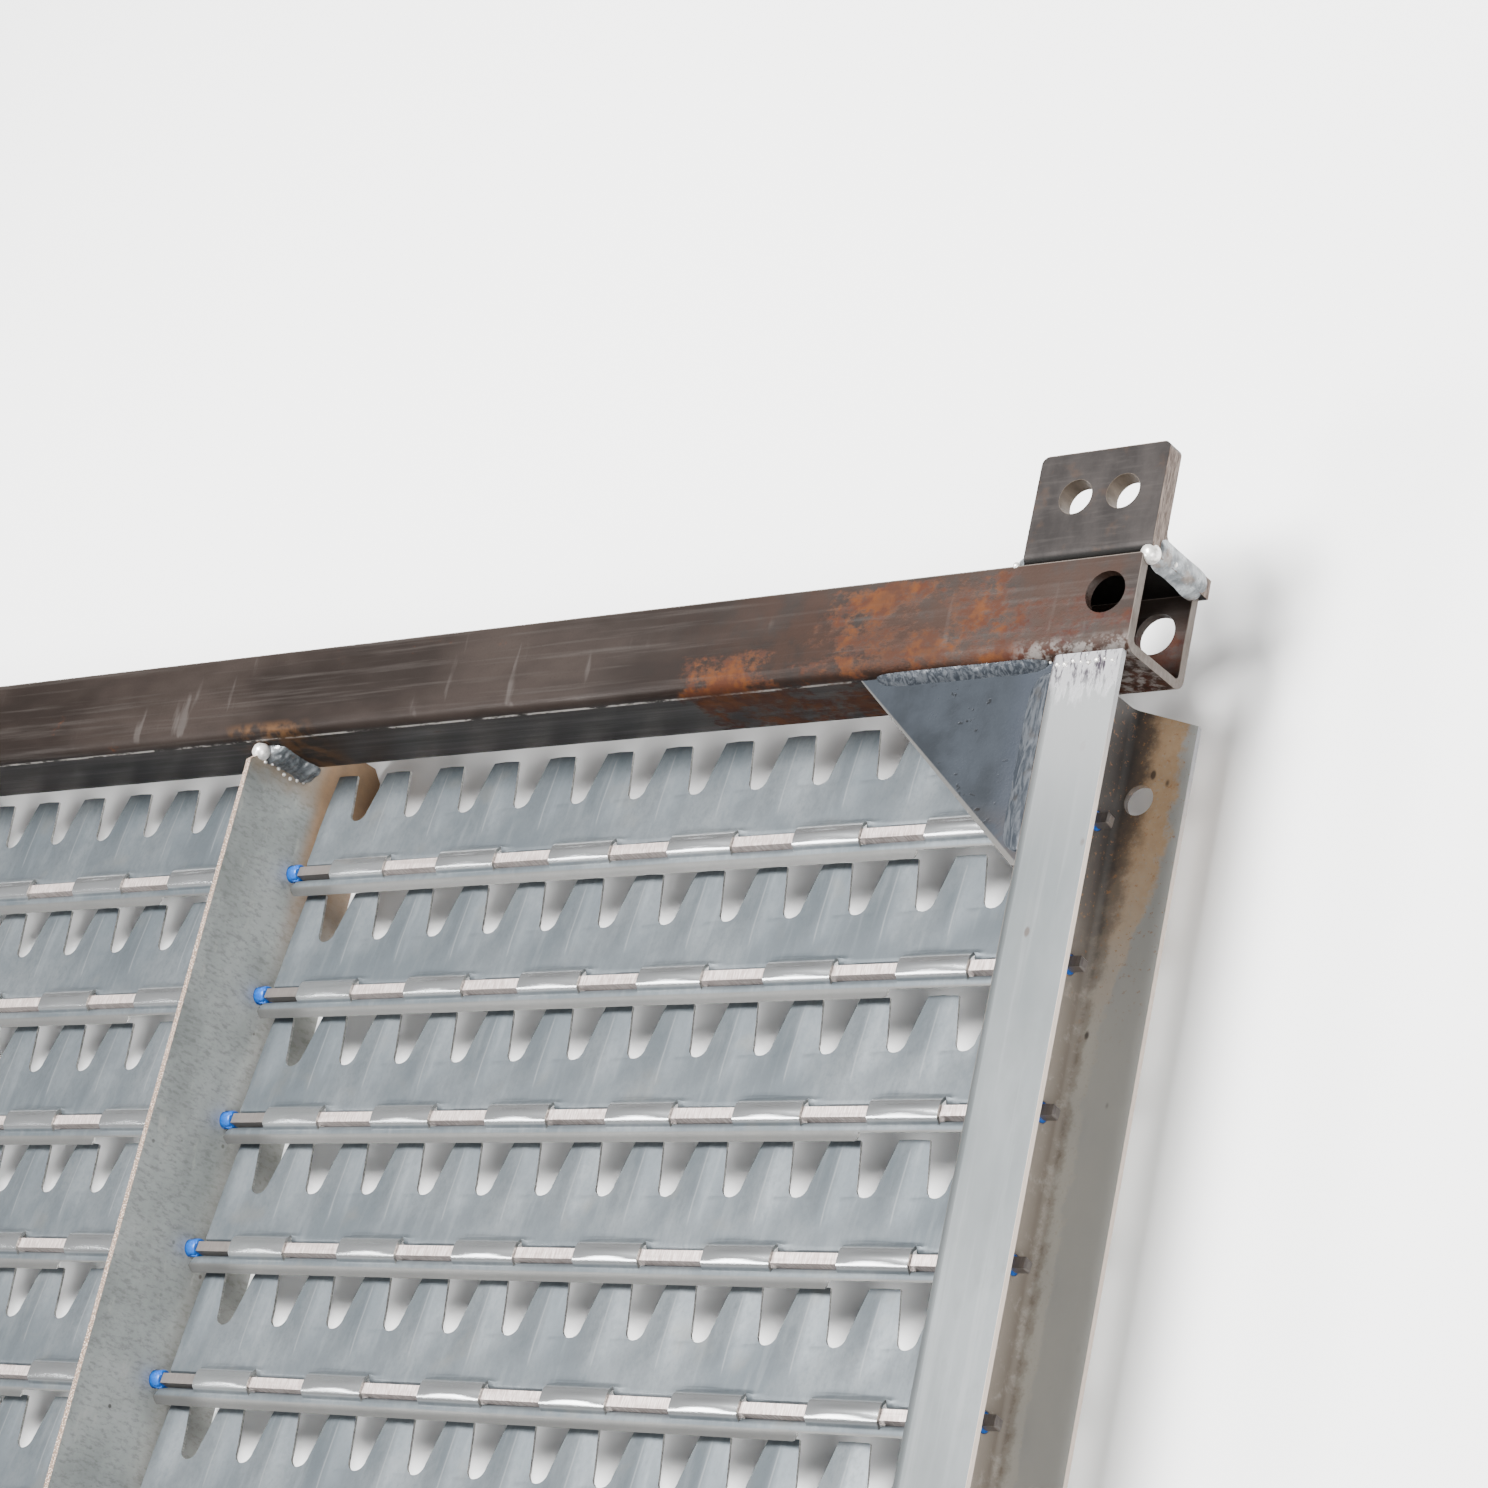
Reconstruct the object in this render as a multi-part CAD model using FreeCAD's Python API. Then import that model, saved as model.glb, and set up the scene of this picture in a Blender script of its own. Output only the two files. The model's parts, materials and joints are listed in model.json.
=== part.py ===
"""Adjustable louvre sieve with a welded frame, pivoting rows of finger slats and one adjusting lever.

Frame: X runs across the sieve, Y from the rear (lever end) to the front (bracket end), Z up.
The origin is the middle of the sieve's bounding box, on the plane of the dividers' lower edges.
"""
import FreeCAD, Part
import math
import os

from FreeCAD import Vector

# ---- driving dimensions, mm ------------------------------------------------------------------
BAYS = 3
BAY = 317.5                 # clear width of one bay
ROWS = 10
ROW_PITCH = 43.6            # distance from one slat wire to the next
FIRST_WIRE = 35.6           # from the front channel's web to the first wire
FRONT_WEB_Y = 251.75        # web face of the front channel
SHEET = 2.0                 # thickness of side members and dividers
MEMBER_LOW = 17.5           # underside of the side members above the dividers' lower edges
MEMBER_DEPTH = 45.0
MEMBER_FLANGE = 22.5        # from the web's outer face to the flanges' free edges

CHANNEL = 30.0              # leg length of the channels
CHANNEL_DEPTH = 30.5
CHANNEL_WALL = 3.0
CHANNEL_HOLE_R = 6.5
CHANNEL_HOLE_IN = 10.5      # from the channel's end
CHANNEL_HOLE_UP = 18.5      # from the channel's web
REAR_GAP = 18.0             # from the last wire to the rear channel's web

FLANGE_HOLE_R = 4.75
FLANGE_HOLE_OUT = 6.9       # from the web's outer face
FLANGE_HOLE_IN = 26.0

BRACKET_T = 6.0
BRACKET_WIDTH = 43.5
BRACKET_OVERHANG = 2.5      # past the channel's end
BRACKET_TOP = 65.0          # above the channel's web face
BRACKET_HOLE_R = 5.5
BRACKET_HOLE_IN = 19.0      # middle of the hole pair, from the channel's end
BRACKET_HOLE_PITCH = 16.0
BRACKET_HOLE_UP = 50.5

DIVIDER_TOP = 59.5
DIVIDER_TONGUE = 14.0       # how far a divider runs on under each channel
GUSSET_T = 2.5
GUSSET_LONG = 68.0
GUSSET_SHORT = 62.0
GUSSET_TOP = 58.5

WIRE = 3.4                  # square pivot wire
WIRE_Z = 27.95
WIRE_STUB = 5.0             # past the right side member's web
DROOP = 7.4                 # slope of the closed slats, degrees
OPENING = 22.0              # slat travel, degrees

SLAT_T = 1.0
SLAT_LENGTH = 297.4
SLAT_INSET = 5.3            # from the left side of the bay
FINGER_TIP = 37.5           # from the wire
FINGER_PITCH = 24.24
NOTCH_FIRST = 15.2
NOTCH_COUNT = 12
NOTCH_ROOT = 19.5
NOTCH_ROOT_R = 3.6
NOTCH_MOUTH = 13.7
WINDOW_FIRST = 38.7         # start of the first full window in which the wire shows
WINDOW = 23.9
WINDOW_PITCH = 48.48
WINDOW_COUNT = 6
END_WINDOW = 14.7
LIP_START = -5.2
LIP_LENGTH = 3.0
LIP_ANGLE = 40.0
LIP_OVERHANG = 3.8          # past the slat's left end
LIP_END = 254.0

BUSH_R = 3.1
BUSH_HOLE_R = 3.15
BUSH_STAND = 4.1            # how far a bush stands out of its plate

CRANK = 14.0
BAR_T = 3.0
BAR_OUT = 7.5               # inner face of the adjusting bar, from the left web's outer face
BAR_Z = (35.0, 53.5)
BAR_NOTCH = 4.2
GUIDE_Z = 44.5
GUIDE_ROWS = (2, 5, 8)      # the bar's guide bolts stand behind these rows
GUIDE_R = 4.0
GUIDE_SLOT_R = 4.3

PIVOT_BACK = 461.0          # lever pivot, behind the front channel's web
PIVOT_Z = 29.5
LEVER_ARM = 18.0
LEVER_LENGTH = 104.0
LEVER_LIFT = 14.0           # slope of the handle in mid travel, degrees
LEVER_PIN_R = 3.0
CLAMP_RADIUS = 58.0

WEB_IN = (BAYS * BAY + (BAYS - 1) * SHEET) / 2
WEB_OUT = WEB_IN + SHEET
FLANGE_OUT = WEB_OUT + MEMBER_FLANGE
FRAME_HALF = FLANGE_OUT + 1
TOP = MEMBER_LOW + MEMBER_DEPTH
BAY_LEFTS = [-WEB_IN + bay * (BAY + SHEET) for bay in range(BAYS)]
BAR_X = (-WEB_OUT - BAR_OUT - BAR_T, -WEB_OUT - BAR_OUT)
LEVER_X = (BAR_X[0] - 3.3, BAR_X[0] - 0.3)
QUADRANT_X = (LEVER_X[0] - 3.4, LEVER_X[0] - 0.4)
BOLT_END = -WEB_OUT - 20.5
TRAVEL = CRANK * math.radians(OPENING)
LEVER_SWING = math.degrees(TRAVEL / LEVER_ARM)
WIRES_Y = [FRONT_WEB_Y - FIRST_WIRE - ROW_PITCH * row for row in range(ROWS)]
REAR_WEB_Y = WIRES_Y[-1] - REAR_GAP
REAR_END_Y = REAR_WEB_Y - CHANNEL
PIVOT_Y = FRONT_WEB_Y - PIVOT_BACK
CHANNEL_Z = TOP - CHANNEL_DEPTH
X_AXIS = Vector(1, 0, 0)


# ---- helpers ---------------------------------------------------------------------------------
def box(x, y, z):
    """A block between two limits on each axis, in any order."""
    low = [min(pair) for pair in (x, y, z)]
    size = [abs(pair[1] - pair[0]) for pair in (x, y, z)]
    return Part.makeBox(*size, Vector(*low))


def rod_x(x, y, z, radius):
    """A round bar along X between two limits."""
    return Part.makeCylinder(radius, abs(x[1] - x[0]), Vector(min(x), y, z), X_AXIS)


def rod_z(x, y, z, radius):
    return Part.makeCylinder(radius, z[1] - z[0], Vector(x, y, z[0]), Vector(0, 0, 1))


def prism_x(points, x):
    """A polygon of (y, z) points drawn out along X."""
    outline = Part.makePolygon([Vector(x[0], y, z) for y, z in points + points[:1]])
    return Part.Face(outline).extrude(Vector(x[1] - x[0], 0, 0))


def prism_z(points, z):
    """A polygon of (x, y) points drawn out along Z."""
    outline = Part.makePolygon([Vector(x, y, z[0]) for x, y in points + points[:1]])
    return Part.Face(outline).extrude(Vector(0, 0, z[1] - z[0]))


def round_edges(shape, radius, along, test):
    """Fillet the straight edges that run along one axis and pass the test."""
    edges = []
    for edge in shape.Edges:
        tangent = edge.tangentAt(edge.FirstParameter)
        if abs(abs(tangent.dot(along)) - 1) < 1e-6 and test(edge.CenterOfMass):
            edges.append(edge)
    return shape.makeFillet(radius, edges)


def mirror_x(shape):
    return shape.mirror(Vector(0, 0, 0), X_AXIS)


def hexagon_x(x, y, z, across):
    """A hexagonal bar along X."""
    corner = across / math.sqrt(3)
    points = [(y + corner * math.cos(math.radians(60 * i)), z + corner * math.sin(math.radians(60 * i)))
              for i in range(6)]
    return prism_x(points, x)


def fillet_bead(start, direction, length, leg, side_a, side_b):
    """A weld bead of triangular section in the corner between two faces."""
    corners = [start, start + side_a * leg, start + side_b * leg, start]
    return Part.Face(Part.makePolygon(corners)).extrude(direction * length)


def save(name, *solids):
    """Write one sub-part, a single solid or a group of separate ones."""
    shape = solids[0] if len(solids) == 1 else Part.makeCompound(list(solids))
    if not shape.isValid():
        raise ValueError(name + " is not valid")
    shape.exportStep(os.path.join("parts", name + ".step"))


# ---- frame -----------------------------------------------------------------------------------
def channel(x, web_y, toward):
    """A U channel along X whose open side looks along +Y or -Y."""
    end_y = web_y + toward * CHANNEL
    outer = box(x, (web_y, end_y), (CHANNEL_Z, TOP))
    outer = round_edges(outer, 4.5, X_AXIS, lambda p: abs(p.y - web_y) < 0.01)
    inner_web = web_y + toward * CHANNEL_WALL
    inner = box((x[0] - 1, x[1] + 1), (inner_web, end_y + toward),
                (CHANNEL_Z + CHANNEL_WALL, TOP - CHANNEL_WALL))
    inner = round_edges(inner, 1.5, X_AXIS, lambda p: abs(p.y - inner_web) < 0.01)
    body = outer.cut(inner)
    for hole_x in (x[0] + CHANNEL_HOLE_IN, x[1] - CHANNEL_HOLE_IN):
        hole_y = web_y + toward * CHANNEL_HOLE_UP
        body = body.cut(rod_z(hole_x, hole_y, (CHANNEL_Z - 1, TOP + 1), CHANNEL_HOLE_R))
    return body


def side_member():
    """The right-hand C member, open to the outside, with one bush hole for each wire."""
    front = FRONT_WEB_Y + 3
    outer = box((WEB_IN, FLANGE_OUT), (REAR_END_Y, front), (MEMBER_LOW, TOP))
    outer = round_edges(outer, 4, Vector(0, 1, 0), lambda p: abs(p.x - WEB_IN) < 0.01)
    inner = box((WEB_OUT, FLANGE_OUT + 1), (REAR_END_Y - 1, front + 1), (MEMBER_LOW + SHEET, TOP - SHEET))
    inner = round_edges(inner, 2, Vector(0, 1, 0), lambda p: abs(p.x - WEB_OUT) < 0.01)
    body = outer.cut(inner)
    body = body.cut(box((WEB_IN - 1, FLANGE_OUT + 1), (FRONT_WEB_Y, front + 1), (CHANNEL_Z - 0.5, TOP + 1)))
    slant = [(WEB_OUT, front + 1), (WEB_OUT, front), (FLANGE_OUT, FRONT_WEB_Y - 4),
             (FLANGE_OUT + 1, FRONT_WEB_Y - 4), (FLANGE_OUT + 1, front + 1)]
    body = body.cut(prism_z(slant, (0, CHANNEL_Z)))
    for y in WIRES_Y:
        body = body.cut(rod_x((WEB_IN - 1, WEB_OUT + 1), y, WIRE_Z, BUSH_HOLE_R))
    for y in (FRONT_WEB_Y - FLANGE_HOLE_IN, REAR_END_Y + FLANGE_HOLE_IN):
        body = body.cut(rod_z(WEB_OUT + FLANGE_HOLE_OUT, y, (0, MEMBER_LOW + SHEET + 1), FLANGE_HOLE_R))
    return body


def divider(left_face):
    """The plate between two bays: upper corners cut back, a tongue under each channel."""
    cut = 7.0
    under = CHANNEL_Z - 0.5
    nose = 4.0
    front = [(FRONT_WEB_Y - cut, DIVIDER_TOP), (FRONT_WEB_Y, DIVIDER_TOP - cut), (FRONT_WEB_Y, under),
             (FRONT_WEB_Y + DIVIDER_TONGUE, under), (FRONT_WEB_Y + DIVIDER_TONGUE, nose),
             (FRONT_WEB_Y + DIVIDER_TONGUE - nose, 0)]
    middle = FRONT_WEB_Y + REAR_WEB_Y
    rear = [(middle - y, z) for y, z in front][::-1]
    plate = prism_x(front + rear, (left_face, left_face + SHEET))
    for y in WIRES_Y:
        plate = plate.cut(rod_x((left_face - 1, left_face + SHEET + 1), y, WIRE_Z, BUSH_HOLE_R))
    return plate


def gusset(web_y, toward):
    """A right-hand corner plate between a channel's web and the side member's web."""
    tip = 2.0
    outline = [(WEB_IN, web_y), (WEB_IN - GUSSET_LONG, web_y), (WEB_IN - GUSSET_LONG + tip, web_y + toward * tip),
               (WEB_IN - tip, web_y + toward * GUSSET_SHORT), (WEB_IN, web_y + toward * GUSSET_SHORT)]
    return prism_z(outline, (GUSSET_TOP - GUSSET_T, GUSSET_TOP))


def bracket():
    """The right-hand mounting bracket: a bent plate closing the channel's open side."""
    foot_y = FRONT_WEB_Y + CHANNEL
    top_y = FRONT_WEB_Y + BRACKET_TOP
    low_z = CHANNEL_Z - 1
    outer_x = FRAME_HALF + BRACKET_OVERHANG
    inner_x = outer_x - BRACKET_WIDTH
    outer = box((inner_x, outer_x), (foot_y, top_y), (low_z, TOP))
    outer = round_edges(outer, 3.5, X_AXIS, lambda p: abs(p.y - foot_y) < 0.01 and p.z > TOP - 1)
    inner = box((inner_x - 1, outer_x + 1), (foot_y + BRACKET_T, top_y + 1), (low_z - 1, TOP - BRACKET_T))
    inner = round_edges(inner, 3, X_AXIS, lambda p: p.y < foot_y + BRACKET_T + 0.01 and p.z > low_z)
    plate = outer.cut(inner)
    plate = round_edges(plate, 2.5, Vector(0, 0, 1), lambda p: p.y > top_y - 0.01)
    for side in (-0.5, 0.5):
        x = FRAME_HALF - BRACKET_HOLE_IN + side * BRACKET_HOLE_PITCH
        y = FRONT_WEB_Y + BRACKET_HOLE_UP
        plate = plate.cut(rod_z(x, y, (TOP - BRACKET_T - 1, TOP + 1), BRACKET_HOLE_R))
    return plate


def bracket_beads():
    """Beads at the right bracket's inner foot and in the corner under its overhang."""
    foot_y = FRONT_WEB_Y + CHANNEL
    foot_x = FRAME_HALF + BRACKET_OVERHANG - BRACKET_WIDTH
    inner = fillet_bead(Vector(foot_x, foot_y, TOP - 4), Vector(0, 0, -1), 24, 3.0,
                        Vector(-1, 0, 0), Vector(0, 1, 0))
    end = fillet_bead(Vector(FRAME_HALF, foot_y, TOP - 4), Vector(0, 0, -1), CHANNEL_DEPTH - 5, BRACKET_OVERHANG,
                      Vector(1, 0, 0), Vector(0, -1, 0))
    return [inner, end]


def save_frame():
    web_span = (-WEB_IN, WEB_IN)
    save("front_channel", channel((-FRAME_HALF, FRAME_HALF), FRONT_WEB_Y, 1))
    save("rear_channel", channel(web_span, REAR_WEB_Y, -1))
    right = side_member()
    save("side_member_right", right)
    left = mirror_x(right)
    for y in guide_ys():
        left = left.cut(rod_x((-WEB_OUT - 1, -WEB_IN + 1), y, GUIDE_Z, GUIDE_R + 0.3))
    save("side_member_left", left)
    for name, bay_left in zip(("divider_left", "divider_right"), BAY_LEFTS[1:]):
        save(name, divider(bay_left - SHEET))
    for end, web_y, toward in (("front", FRONT_WEB_Y, -1), ("rear", REAR_WEB_Y, 1)):
        plate = gusset(web_y, toward)
        save("gusset_" + end + "_right", plate)
        save("gusset_" + end + "_left", mirror_x(plate))
    plate = bracket()
    save("bracket_right", plate)
    save("bracket_left", mirror_x(plate))


def save_welds():
    """Weld beads, one node for each kind of joint."""
    beads = bracket_beads()
    save("bracket_welds", *beads, *[mirror_x(bead) for bead in beads])

    beads = []
    for web_y, toward in ((FRONT_WEB_Y, -1), (REAR_WEB_Y, 1)):
        along_web = fillet_bead(Vector(WEB_IN - GUSSET_LONG + 4, web_y, GUSSET_TOP), X_AXIS, GUSSET_LONG - 8, 2.0,
                                Vector(0, toward, 0), Vector(0, 0, 1))
        along_side = fillet_bead(Vector(WEB_IN, web_y + toward * 4, GUSSET_TOP), Vector(0, toward, 0),
                                 GUSSET_SHORT - 8, 0.8, Vector(-1, 0, 0), Vector(0, 0, 1))
        beads += [along_web, along_side]
    save("gusset_welds", *beads, *[mirror_x(bead) for bead in beads])

    beads = []
    for web_y, toward in ((FRONT_WEB_Y, -1), (REAR_WEB_Y, 1)):
        beads.append(fillet_bead(Vector(WEB_IN, web_y, CHANNEL_Z + 4), Vector(0, 0, 1), 18, 2.5,
                                 Vector(-1, 0, 0), Vector(0, toward, 0)))
    flange_bead = fillet_bead(Vector(WEB_OUT + 3, FRONT_WEB_Y, TOP - SHEET), X_AXIS, 16, 2.0,
                              Vector(0, -1, 0), Vector(0, 0, -1))
    beads.append(flange_bead)
    save("side_member_welds", *beads, *[mirror_x(bead) for bead in beads])

    beads = []
    for web_y, toward in ((FRONT_WEB_Y, -1), (REAR_WEB_Y, 1)):
        for bay_left in BAY_LEFTS[1:]:
            for face_x, side in ((bay_left, 1), (bay_left - SHEET, -1)):
                beads.append(fillet_bead(Vector(face_x, web_y, CHANNEL_Z), Vector(0, 0, 1), 20, 3.5,
                                         Vector(side, 0, 0), Vector(0, toward, 0)))
    save("divider_welds", *beads)


# ---- slat rows -------------------------------------------------------------------------------
def sheet_section(bend):
    """Outline (y, z) of the slat sheet about its wire: bend is +1 over the wire, -1 under it."""
    half = SLAT_T / 2
    rise = WIRE / 2 + 0.05 + half
    foot = 4.4 if bend > 0 else 3.6
    crown = WIRE / 2 + 0.25 + half
    drop = math.radians(LIP_ANGLE)
    lip_end = (LIP_START - LIP_LENGTH * math.cos(drop), -LIP_LENGTH * math.sin(drop))
    line = [(FINGER_TIP, 0), (foot, 0), (crown, bend * rise), (-crown, bend * rise), (-foot, 0), (LIP_START, 0), lip_end]
    upper = offset_line(line, half)
    lower = offset_line(line, -half)
    return upper + lower[::-1]


def offset_line(line, distance):
    """A polyline moved sideways, to its right-hand side for a positive distance."""
    moved = []
    for i, point in enumerate(line):
        normals = []
        for a, b in ((i - 1, i), (i, i + 1)):
            if a >= 0 and b < len(line):
                dy = line[b][0] - line[a][0]
                dz = line[b][1] - line[a][1]
                size = math.hypot(dy, dz)
                normals.append((dz / size, -dy / size))
        ny = sum(n[0] for n in normals)
        nz = sum(n[1] for n in normals)
        scale = distance * len(normals) / (ny * ny + nz * nz)
        moved.append((point[0] + ny * scale, point[1] + nz * scale))
    return moved


def notch(middle):
    """The space between two fingers, a tapered slot with a round root."""
    root_y = NOTCH_ROOT + NOTCH_ROOT_R
    past = 4.0
    half = NOTCH_MOUTH / 2
    mouth_half = half + past * (half - NOTCH_ROOT_R) / (FINGER_TIP - root_y)
    taper = [(middle - NOTCH_ROOT_R, root_y), (middle + NOTCH_ROOT_R, root_y),
             (middle + mouth_half, FINGER_TIP + past), (middle - mouth_half, FINGER_TIP + past)]
    return prism_z(taper, (-8, 8)).fuse(rod_z(middle, root_y, (-8, 8), NOTCH_ROOT_R)).removeSplitter()


def slat():
    """One finger slat in its own frame: X from its left end, Y and Z from the wire's axis."""
    windows = [(-LIP_OVERHANG, END_WINDOW)]
    for i in range(WINDOW_COUNT):
        start = WINDOW_FIRST + WINDOW_PITCH * i
        windows.append((start, min(start + WINDOW, SLAT_LENGTH)))
    pieces = []
    for i, (start, end) in enumerate(windows):
        pieces.append(prism_x(sheet_section(-1), (start, end)))
        if i + 1 < len(windows):
            pieces.append(prism_x(sheet_section(1), (end, windows[i + 1][0])))
    body = pieces[0].multiFuse(pieces[1:])
    for i in range(NOTCH_COUNT):
        body = body.cut(notch(NOTCH_FIRST + FINGER_PITCH * i))
    beside_bush = [(0, FINGER_TIP + 1), (0, -3.6), (-2, -3.6), (-LIP_OVERHANG - 1, LIP_START - 0.4),
                   (-LIP_OVERHANG - 1, FINGER_TIP + 1)]
    body = body.cut(prism_z(beside_bush, (-8, 8)))
    beyond_lip = box((LIP_END, SLAT_LENGTH + 1), (LIP_START - 0.3, LIP_START - 8), (-6, 4))
    return body.cut(beyond_lip)


def in_row(shape, wire_y):
    """Turn a shape made about the wire's axis to the closed slope and move it to its row."""
    placed = shape.copy()
    placed.rotate(Vector(0, 0, 0), X_AXIS, -DROOP)
    placed.translate(Vector(0, wire_y, WIRE_Z))
    return placed


def wire():
    """The square pivot wire with its cranked end, about its own axis."""
    half = WIRE / 2
    square = (-half, half)
    right_end = WEB_OUT + WIRE_STUB
    leg_x = -WEB_OUT - 4.3
    shaft = box((leg_x - half, right_end), square, square)
    tip = [edge for edge in shaft.Edges if abs(edge.CenterOfMass.x - right_end) < 0.01]
    shaft = shaft.makeChamfer(0.6, tip)
    leg = box((leg_x - half, leg_x + half), square, (-half, CRANK + half))
    pin = rod_x((BAR_X[0] - 2, leg_x), 0, CRANK, half)
    crank = leg.fuse(pin)
    crank.rotate(Vector(0, 0, 0), X_AXIS, DROOP + OPENING / 2)
    return shaft.fuse(crank).removeSplitter()


def bushes():
    """The bushes of one row, in the left side member, each divider and the right side member."""
    spans = [(-WEB_OUT, -WEB_IN + BUSH_STAND)]
    for bay_left in BAY_LEFTS[1:]:
        spans.append((bay_left - SHEET - 0.5, bay_left + BUSH_STAND))
    spans.append((WEB_IN - BUSH_STAND, WEB_OUT))
    half = WIRE / 2 + 0.02
    square = (-half, half)
    return [rod_x(span, 0, 0, BUSH_R).cut(box((span[0] - 1, span[1] + 1), square, square)) for span in spans]


def save_rows():
    one_slat = slat()
    one_wire = wire()
    one_set = bushes()
    for row, wire_y in enumerate(WIRES_Y, start=1):
        number = "%02d" % row
        slats = []
        for bay_left in BAY_LEFTS:
            placed = one_slat.copy()
            placed.translate(Vector(bay_left + SLAT_INSET, 0, 0))
            slats.append(in_row(placed, wire_y))
        save("slats_" + number, *slats)
        save("wire_" + number, in_row(one_wire, wire_y))
        save("bushes_" + number, *[in_row(bush, wire_y) for bush in one_set])


# ---- adjusting gear in the left side member --------------------------------------------------
def guide_ys():
    """The guide bolts stand half a pitch behind their rows."""
    return [WIRES_Y[row - 1] - ROW_PITCH / 2 for row in GUIDE_ROWS]


def slot_x(y, z, x, radius):
    """A straight slot with round ends, between two limits along Y or along Z."""
    ends = rod_x(x, y[0], z[0], radius).fuse(rod_x(x, y[1], z[1], radius))
    if y[0] == y[1]:
        middle = box(x, (y[0] - radius, y[0] + radius), z)
    else:
        middle = box(x, y, (z[0] - radius, z[0] + radius))
    return ends.fuse(middle)


def adjusting_bar():
    """The sliding bar: a notch over each crank pin, guide slots and the lever's drive slot."""
    through = (BAR_X[0] - 1, BAR_X[1] + 1)
    bar = box(BAR_X, (PIVOT_Y - 14, WIRES_Y[0] + 12), BAR_Z)
    bar = round_edges(bar, 3, X_AXIS, lambda p: True)
    pin_z = WIRE_Z + CRANK
    for wire_y in WIRES_Y:
        middle = wire_y - TRAVEL / 2
        bar = bar.cut(slot_x((middle, middle), (BAR_Z[0] - 4, pin_z + 0.5), through, BAR_NOTCH / 2))
    for y in guide_ys():
        bar = bar.cut(slot_x((y - TRAVEL - 0.3, y + 0.3), (GUIDE_Z, GUIDE_Z), through, GUIDE_SLOT_R))
    drive_y = PIVOT_Y - LEVER_ARM * math.sin(math.radians(LEVER_SWING / 2))
    drive_z = PIVOT_Z + LEVER_ARM
    return bar.cut(slot_x((drive_y, drive_y), (drive_z - 1.6, drive_z + 0.8), through, LEVER_PIN_R + 0.3))


def about_pivot(shape):
    """Move a lever shape, drawn at mid travel about the pivot, to the closed position."""
    placed = shape.copy()
    placed.rotate(Vector(0, 0, 0), X_AXIS, LEVER_SWING / 2)
    placed.translate(Vector(0, PIVOT_Y, PIVOT_Z))
    return placed


def along_handle(shape):
    """Slope a shape drawn along -Y up to the handle's direction at mid travel."""
    sloped = shape.copy()
    sloped.rotate(Vector(0, 0, 0), X_AXIS, -LEVER_LIFT)
    return sloped


def lever():
    """The bell crank: an upright drive arm and a handle to the rear, at mid travel."""
    boss = rod_x(LEVER_X, 0, 0, 8.5)
    arm = box(LEVER_X, (-6.5, 6.5), (0, LEVER_ARM)).fuse(rod_x(LEVER_X, 0, LEVER_ARM, 6.5))
    handle = box(LEVER_X, (-LEVER_LENGTH, 0), (-8, 8))
    plate = boss.fuse(arm).fuse(along_handle(handle)).removeSplitter()
    through = (LEVER_X[0] - 1, LEVER_X[1] + 1)
    plate = plate.cut(rod_x(through, 0, 0, GUIDE_R + 0.05))
    plate = plate.cut(rod_x(through, 0, LEVER_ARM, LEVER_PIN_R))
    return plate.cut(along_handle(rod_x(through, -CLAMP_RADIUS, 0, 3.0)))


def grip():
    """The moulded sleeve over the end of the handle."""
    start = -LEVER_LENGTH + 31
    end = -LEVER_LENGTH - 3
    sleeve = box((LEVER_X[0] - 2.6, LEVER_X[1] + 2.6), (end, start), (-10.5, 10.5))
    sleeve = round_edges(sleeve, 2.4, Vector(0, 1, 0), lambda p: True)
    return along_handle(sleeve.cut(box(LEVER_X, (-LEVER_LENGTH, start + 1), (-8, 8))))


def quadrant():
    """The plate closing the rear of the left side member, with an arc slot for the clamp bolt."""
    front = PIVOT_Y + 16
    back = PIVOT_Y - CLAMP_RADIUS - 9
    low = MEMBER_LOW + SHEET
    high = TOP - SHEET
    outline = [(front, low), (front, high), (back + 14, high), (back, high - 14), (back, low + 18), (back + 22, low)]
    plate = prism_x(outline, QUADRANT_X)
    through = (QUADRANT_X[0] - 1, QUADRANT_X[1] + 1)
    plate = plate.cut(rod_x(through, PIVOT_Y, PIVOT_Z, 9.5))
    half = 3.3
    ring = rod_x(through, 0, 0, CLAMP_RADIUS + half).cut(rod_x(through, 0, 0, CLAMP_RADIUS - half))
    reach = LEVER_SWING / 2
    far = 2 * CLAMP_RADIUS
    sector = [(0, 0)] + [(-far * math.cos(math.radians(a)), far * math.sin(math.radians(a)))
                         for a in (LEVER_LIFT - reach, LEVER_LIFT, LEVER_LIFT + reach)]
    slot = ring.common(prism_x(sector, through))
    for a in (LEVER_LIFT - reach, LEVER_LIFT + reach):
        end_y = -CLAMP_RADIUS * math.cos(math.radians(a))
        end_z = CLAMP_RADIUS * math.sin(math.radians(a))
        slot = slot.fuse(rod_x(through, end_y, end_z, half))
    slot.translate(Vector(0, PIVOT_Y, PIVOT_Z))
    return plate.cut(slot)


def nut(x, y, z, across, hole_r):
    return hexagon_x(x, y, z, across).cut(rod_x((x[0] - 1, x[1] + 1), y, z, hole_r))


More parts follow.
